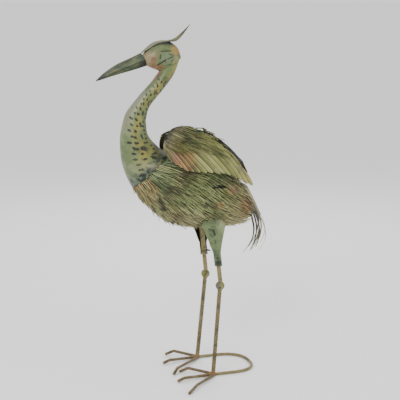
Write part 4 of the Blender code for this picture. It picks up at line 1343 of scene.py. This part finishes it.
def tube(points, around, outline, rows):
    """A closed tube along a line of points; outline(length so far, angle) gives its radius."""
    lengths = np.cumsum([0.0] + [(b - a).length for a, b in zip(points, points[1:])])
    frames = []
    side_way = None
    for i in range(rows + 1):
        here = lengths[-1] * i / rows
        k = int(min(np.searchsorted(lengths, here, side="right") - 1, len(points) - 2))
        f = (here - lengths[k]) / (lengths[k + 1] - lengths[k])
        spot = points[k].lerp(points[k + 1], float(f))
        before = points[max(k - 1, 0)] if f < 0.5 else points[k]
        after = points[k + 1] if f < 0.5 else points[min(k + 2, len(points) - 1)]
        way = (after - before).normalized()
        if side_way is None:
            side_way = way.orthogonal().normalized()
        side_way = (side_way - way * side_way.dot(way)).normalized()
        frames.append((spot, side_way.copy(), way.cross(side_way), here))

    def place(x, y):
        """A point of the tube: x goes round it, y along it."""
        spot, a, b, here = frames[round(y * rows)]
        angle = 2 * math.pi * x
        return spot + (a * math.cos(angle) + b * math.sin(angle)) * outline(here, angle)

    bm = blank(around, rows)
    ridge_value = bm.verts.layers.float.new("ridge")
    for v in bm.verts:
        v[ridge_value] = outline(frames[round(v.co.y * rows)][3], 2 * math.pi * v.co.x)
    widest = max(v[ridge_value] for v in bm.verts)
    for v in bm.verts:
        v[ridge_value] /= widest
    return roll_up(bm, place, caps=True)


def round_rod(points, diameter, rows, around=24):
    """A plain rod along a line of points."""
    return tube(points, around, lambda here, angle: diameter / 2, rows)


def twisted_bar(points, width, turn, rows, around=24):
    """A square bar with rounded edges, a quarter turn every turn metres; its width is measured over
    the edges."""
    def outline(here, angle):
        """The bar's radius, cut flat between its edges, which turn with the way along it."""
        local = (angle + here / turn * math.pi / 2) % (math.pi / 2) - math.pi / 4
        return width / 2 * min(1.0, BAR_FLAT / math.cos(local))
    return tube(points, around, outline, rows)


over_knee = belly_above(BIRD.x + KNEE.x, BIRD.y + KNEE.y)
print("the belly's height over a knee:", round(over_knee, 3), "m")

# %% [markdown]
# The legs are bought bar. Round rod above the knee, and below it a square bar that was twisted cold,
# whose edges run round it like a screw. The toes are thinner twisted bar, bent at a knuckle, and the
# hoop behind the feet is plain round rod.

# %% Paint for rods, balls and sockets
def rod_paint(paint_name, first, second, third, size, dirt, twisted=False, metal=METAL_SHARE):
    """Paint for rod: a base with two patchy tones, darker between the edges of a twisted bar and
    browned by heat near the welds at the ankles."""
    paint, tree, place = start_paint(paint_name)
    colour = lay(tree, tone(*first), mottle(tree, place, size, 0.42, 0.60), second)
    colour = lay(tree, colour, mottle(tree, place, size * 2.3, 0.56, 0.66), third)
    if twisted:
        hollow = fade(tree, value_of(tree, "ridge"), 0.98, 0.90)
        colour = lay(tree, colour, hollow, (52, 46, 26), 0.75)
    for name, side in SIDES:
        ankle = BIRD + Vector((side * ANKLE[0], ANKLE[1], 0.006))
        reach = vector(tree, "DISTANCE", place, tuple(ankle))
        reach = calc(tree, "MULTIPLY_ADD", clouds(tree, place, 200.0), 0.010, reach)
        colour = lay(tree, colour, fade(tree, reach, 0.022, 0.012), (166, 116, 60), 0.7)
    return finish_paint(paint, tree, colour, place, size, dirt, 0.25, metal)


plain_rod_paint = rod_paint("plain_rod_paint", (160, 140, 86), (138, 128, 76), (98, 92, 54), 26.0, 0.4)
shank_paint = rod_paint("shank_paint", (164, 138, 84), (140, 126, 76), (96, 92, 54), 30.0, 0.45, True)
toe_paint = rod_paint("toe_paint", (156, 124, 72), (126, 106, 62), (92, 84, 52), 34.0, 0.45, True)
ball_paint = rod_paint("ball_metal", (156, 154, 70), (104, 92, 88), (52, 44, 50), 46.0, 0.6)
socket_paint = rod_paint("socket_paint", (156, 140, 84), (136, 124, 66), (92, 86, 46), 50.0, 0.5)
screw_paint = rod_paint("screw_paint", (78, 72, 60), (96, 84, 60), (40, 38, 34), 120.0, 0.5, False, 0.7)

# %% [markdown]
# Each leg is put together from the top: the thigh, the socket tube with its thicker collar, the
# clamp screw, the round rod, the ball at the knee, and the twisted bar with a bead of weld at the
# ankle, where the toes and the hoop are joined to it.

# %% Make the legs
SOCKET_LOW = 0.285
SOCKET_STEP = 0.0008
SCREW_HALF = 0.0055
SCREW_RADIUS = 0.0023
UPPER_LENGTH = 0.062
BALL_RADIUS = 0.01125
SHANK_TURN = 0.0085
WELD_RADIUS = 0.0074
WELD_HEIGHT = 0.0062


def weld_bead(spot, seed):
    """A flattened lump of weld metal at a place, a little uneven."""
    bm = bmesh.new()
    bmesh.ops.create_icosphere(bm, subdivisions=4, radius=WELD_RADIUS)
    bmesh.ops.scale(bm, verts=bm.verts[:], vec=(1.0, 1.0, 0.72))
    draw = random.Random(9 + seed)
    for v in bm.verts:
        v.co *= 1 + 0.05 * math.sin(900 * v.co.x + seed) * math.cos(800 * v.co.y) + 0.02 * draw.random()
    bmesh.ops.translate(bm, verts=bm.verts[:], vec=spot)
    return bm


for name, side in SIDES:
    ankle, knee, up = leg_places(side)
    foot = knee + Vector((0, HIP_BACK, 0))
    bm = thigh_sheet(side)
    paints = [thigh_paint, inside_paint]
    add_piece(f"thigh_{name}_sheet", bm, paints, "thigh_paint", [f"thigh_{name}"], 0.0008)

    low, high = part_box(f"socket_{name}")
    start = foot + up * ((SOCKET_LOW - KNEE.z) / up.z)
    end = start + up * ((high.z - 0.0012 - start.z) / up.z)
    bm = tube([start, end], 40, lambda here, angle: SOCKET_RIM - SOCKET_STEP * (here >= COLLAR), 60)
    add_piece(f"socket_{name}_tube", bm, [socket_paint], "socket_paint", [f"socket_{name}"])

    middle = middle_of(f"clamp_screw_{name}")
    out = Vector((-side * 0.75, 0.66, 0.0)).normalized() * SCREW_HALF
    ends = [middle - out, middle + out]
    bm = tube(ends, 24, lambda here, angle: SCREW_RADIUS - 0.0002 * (here <= 0.002), 16)
    add_piece(f"screw_{name}", bm, [screw_paint], "screw_metal", [f"clamp_screw_{name}"])

    bm = round_rod([foot, foot + up * UPPER_LENGTH], LEG_ROD, 20, 32)
    add_piece(f"upper_leg_{name}_rod", bm, [plain_rod_paint], "rod_paint", [f"upper_leg_{name}"])

    bm = bmesh.new()
    bmesh.ops.create_uvsphere(bm, u_segments=40, v_segments=24, radius=BALL_RADIUS)
    bmesh.ops.translate(bm, verts=bm.verts[:], vec=knee)
    add_piece(f"ball_{name}", bm, [ball_paint], "ball_paint", [f"knee_ball_{name}"])

    way = (knee - ankle).normalized()
    bar = twisted_bar([ankle + way * 0.0004, knee], LEG_ROD, SHANK_TURN, 260)
    bm = join([bar, weld_bead(ankle + Vector((0, 0, WELD_HEIGHT)), side)])
    add_piece(f"shank_{name}_bar", bm, [shank_paint], "twisted_rod_paint", [f"shank_{name}"])

# %% [markdown]
# A toe rises a little to its knuckle and falls to its tip. The inner toe of the left foot and the
# outer toe of the right foot cross, so the right one is lifted over the other, by the height of the
# left one where they meet. The hoop is a half ring with squarer corners, its ends at the heels.

# %% Make the toes and the hoop
TOE_ROD = 0.0078
TOE_TURN = 0.0065
TOE_ANGLES = {"inner": -30.0, "middle": 11.7, "outer": 48.0}
TOE_REACH = {"inner": 0.0862, "middle": 0.1000, "outer": 0.1400}
KNUCKLE_REACH = {"inner": 0.0635, "middle": 0.0820, "outer": 0.0945}
KNUCKLE_RISE = {"inner": 0.0148, "middle": 0.0090, "outer": 0.0090}
TOE_SIDE = {"inner": -0.003, "middle": 0.001, "outer": 0.004}
KNUCKLE_ROUND = 0.012
CROSS_GAP = 0.0084
UP = Vector((0, 0, 1))


def toe_way(toe):
    """The direction of a toe on the floor."""
    turn = math.radians(TOE_ANGLES[toe])
    return Vector((math.sin(turn), -math.cos(turn), 0.0))


def bend(a, corner, b, radius, steps=10):
    """Points of a round bend at a corner on the way from a to b."""
    to_a, to_b = (a - corner).normalized(), (b - corner).normalized()
    back = radius / math.tan(to_a.angle(to_b) / 2)
    start, end = corner + to_a * back, corner + to_b * back
    shares = [i / steps for i in range(steps + 1)]
    return [start * (1 - f) ** 2 + corner * 2 * f * (1 - f) + end * f ** 2 for f in shares]


def crossing():
    """How far out the right foot's outer toe meets the other foot's inner toe, and how high it is."""
    inner, outer = toe_way("inner"), toe_way("outer")
    feet = 2 * ANKLE[0] / (outer.x * inner.y - outer.y * inner.x)
    spots = (0.0, KNUCKLE_REACH["inner"], TOE_REACH["inner"])
    heights = (TOE_ROD / 2, KNUCKLE_RISE["inner"], TOE_ROD / 2)
    return feet * inner.y, float(np.interp(-feet * outer.y, spots, heights)) + CROSS_GAP


for name, side in SIDES:
    ankle, knee, up = leg_places(side)
    for toe in TOE_ANGLES:
        way = toe_way(toe)
        reach, rise = KNUCKLE_REACH[toe], KNUCKLE_RISE[toe]
        if toe == "outer" and side < 0:
            reach, rise = crossing()
        start = ankle + Vector((-way.y, way.x, 0.0)) * TOE_SIDE[toe] + UP * (TOE_ROD / 2)
        knuckle = ankle + way * reach + UP * rise
        tip = ankle + way * (TOE_REACH[toe] - 0.0004) + UP * (TOE_ROD / 2)
        points = [start, *bend(start, knuckle, tip, KNUCKLE_ROUND), tip]
        bm = twisted_bar(points, TOE_ROD, TOE_TURN, 170, 24)
        add_piece(f"toe_{name}_{toe}_bar", bm, [toe_paint], "twisted_rod_paint", [f"toe_{name}_{toe}"])

HOOP_ROD = 0.0080
HOOP_HEIGHT = HOOP_ROD / 2 - 0.0002
HOOP_START = 0.0194
TURN_START = 0.066
TURN_RADIUS = ANKLE[0]
TURN_SQUARE = 0.80


def hoop_point(x, y):
    """A point of the hoop's middle line."""
    return BIRD + Vector((x, y, HOOP_HEIGHT))


straight = [HOOP_START + (TURN_START - HOOP_START) * i / 8 for i in range(8)]
points = [hoop_point(TURN_RADIUS, y) for y in straight]
for i in range(65):
    c, s = math.cos(math.pi * i / 64), math.sin(math.pi * i / 64)
    across = math.copysign(abs(c) ** TURN_SQUARE, c)
    points.append(hoop_point(TURN_RADIUS * across, TURN_START + TURN_RADIUS * s ** TURN_SQUARE))
points += [hoop_point(-TURN_RADIUS, y) for y in reversed(straight)]
bm = round_rod(points, HOOP_ROD - 0.0004, 160, 24)
add_piece("hoop_rod", bm, [plain_rod_paint], "rod_paint", ["heel_hoop"])

# %% [markdown]
# Last, the sizes of the frame's box and of the dressed bird's box are printed, so that the two can
# be compared.

# %% Sizes and finish
size = {"cad": [list(map(float, c)) for c in cad_box], "visual": [list(map(float, c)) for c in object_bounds()]}
for low, high in size.values():
    print("box:", [round((b - a) * 1000, 1) for a, b in zip(low, high)], "mm")
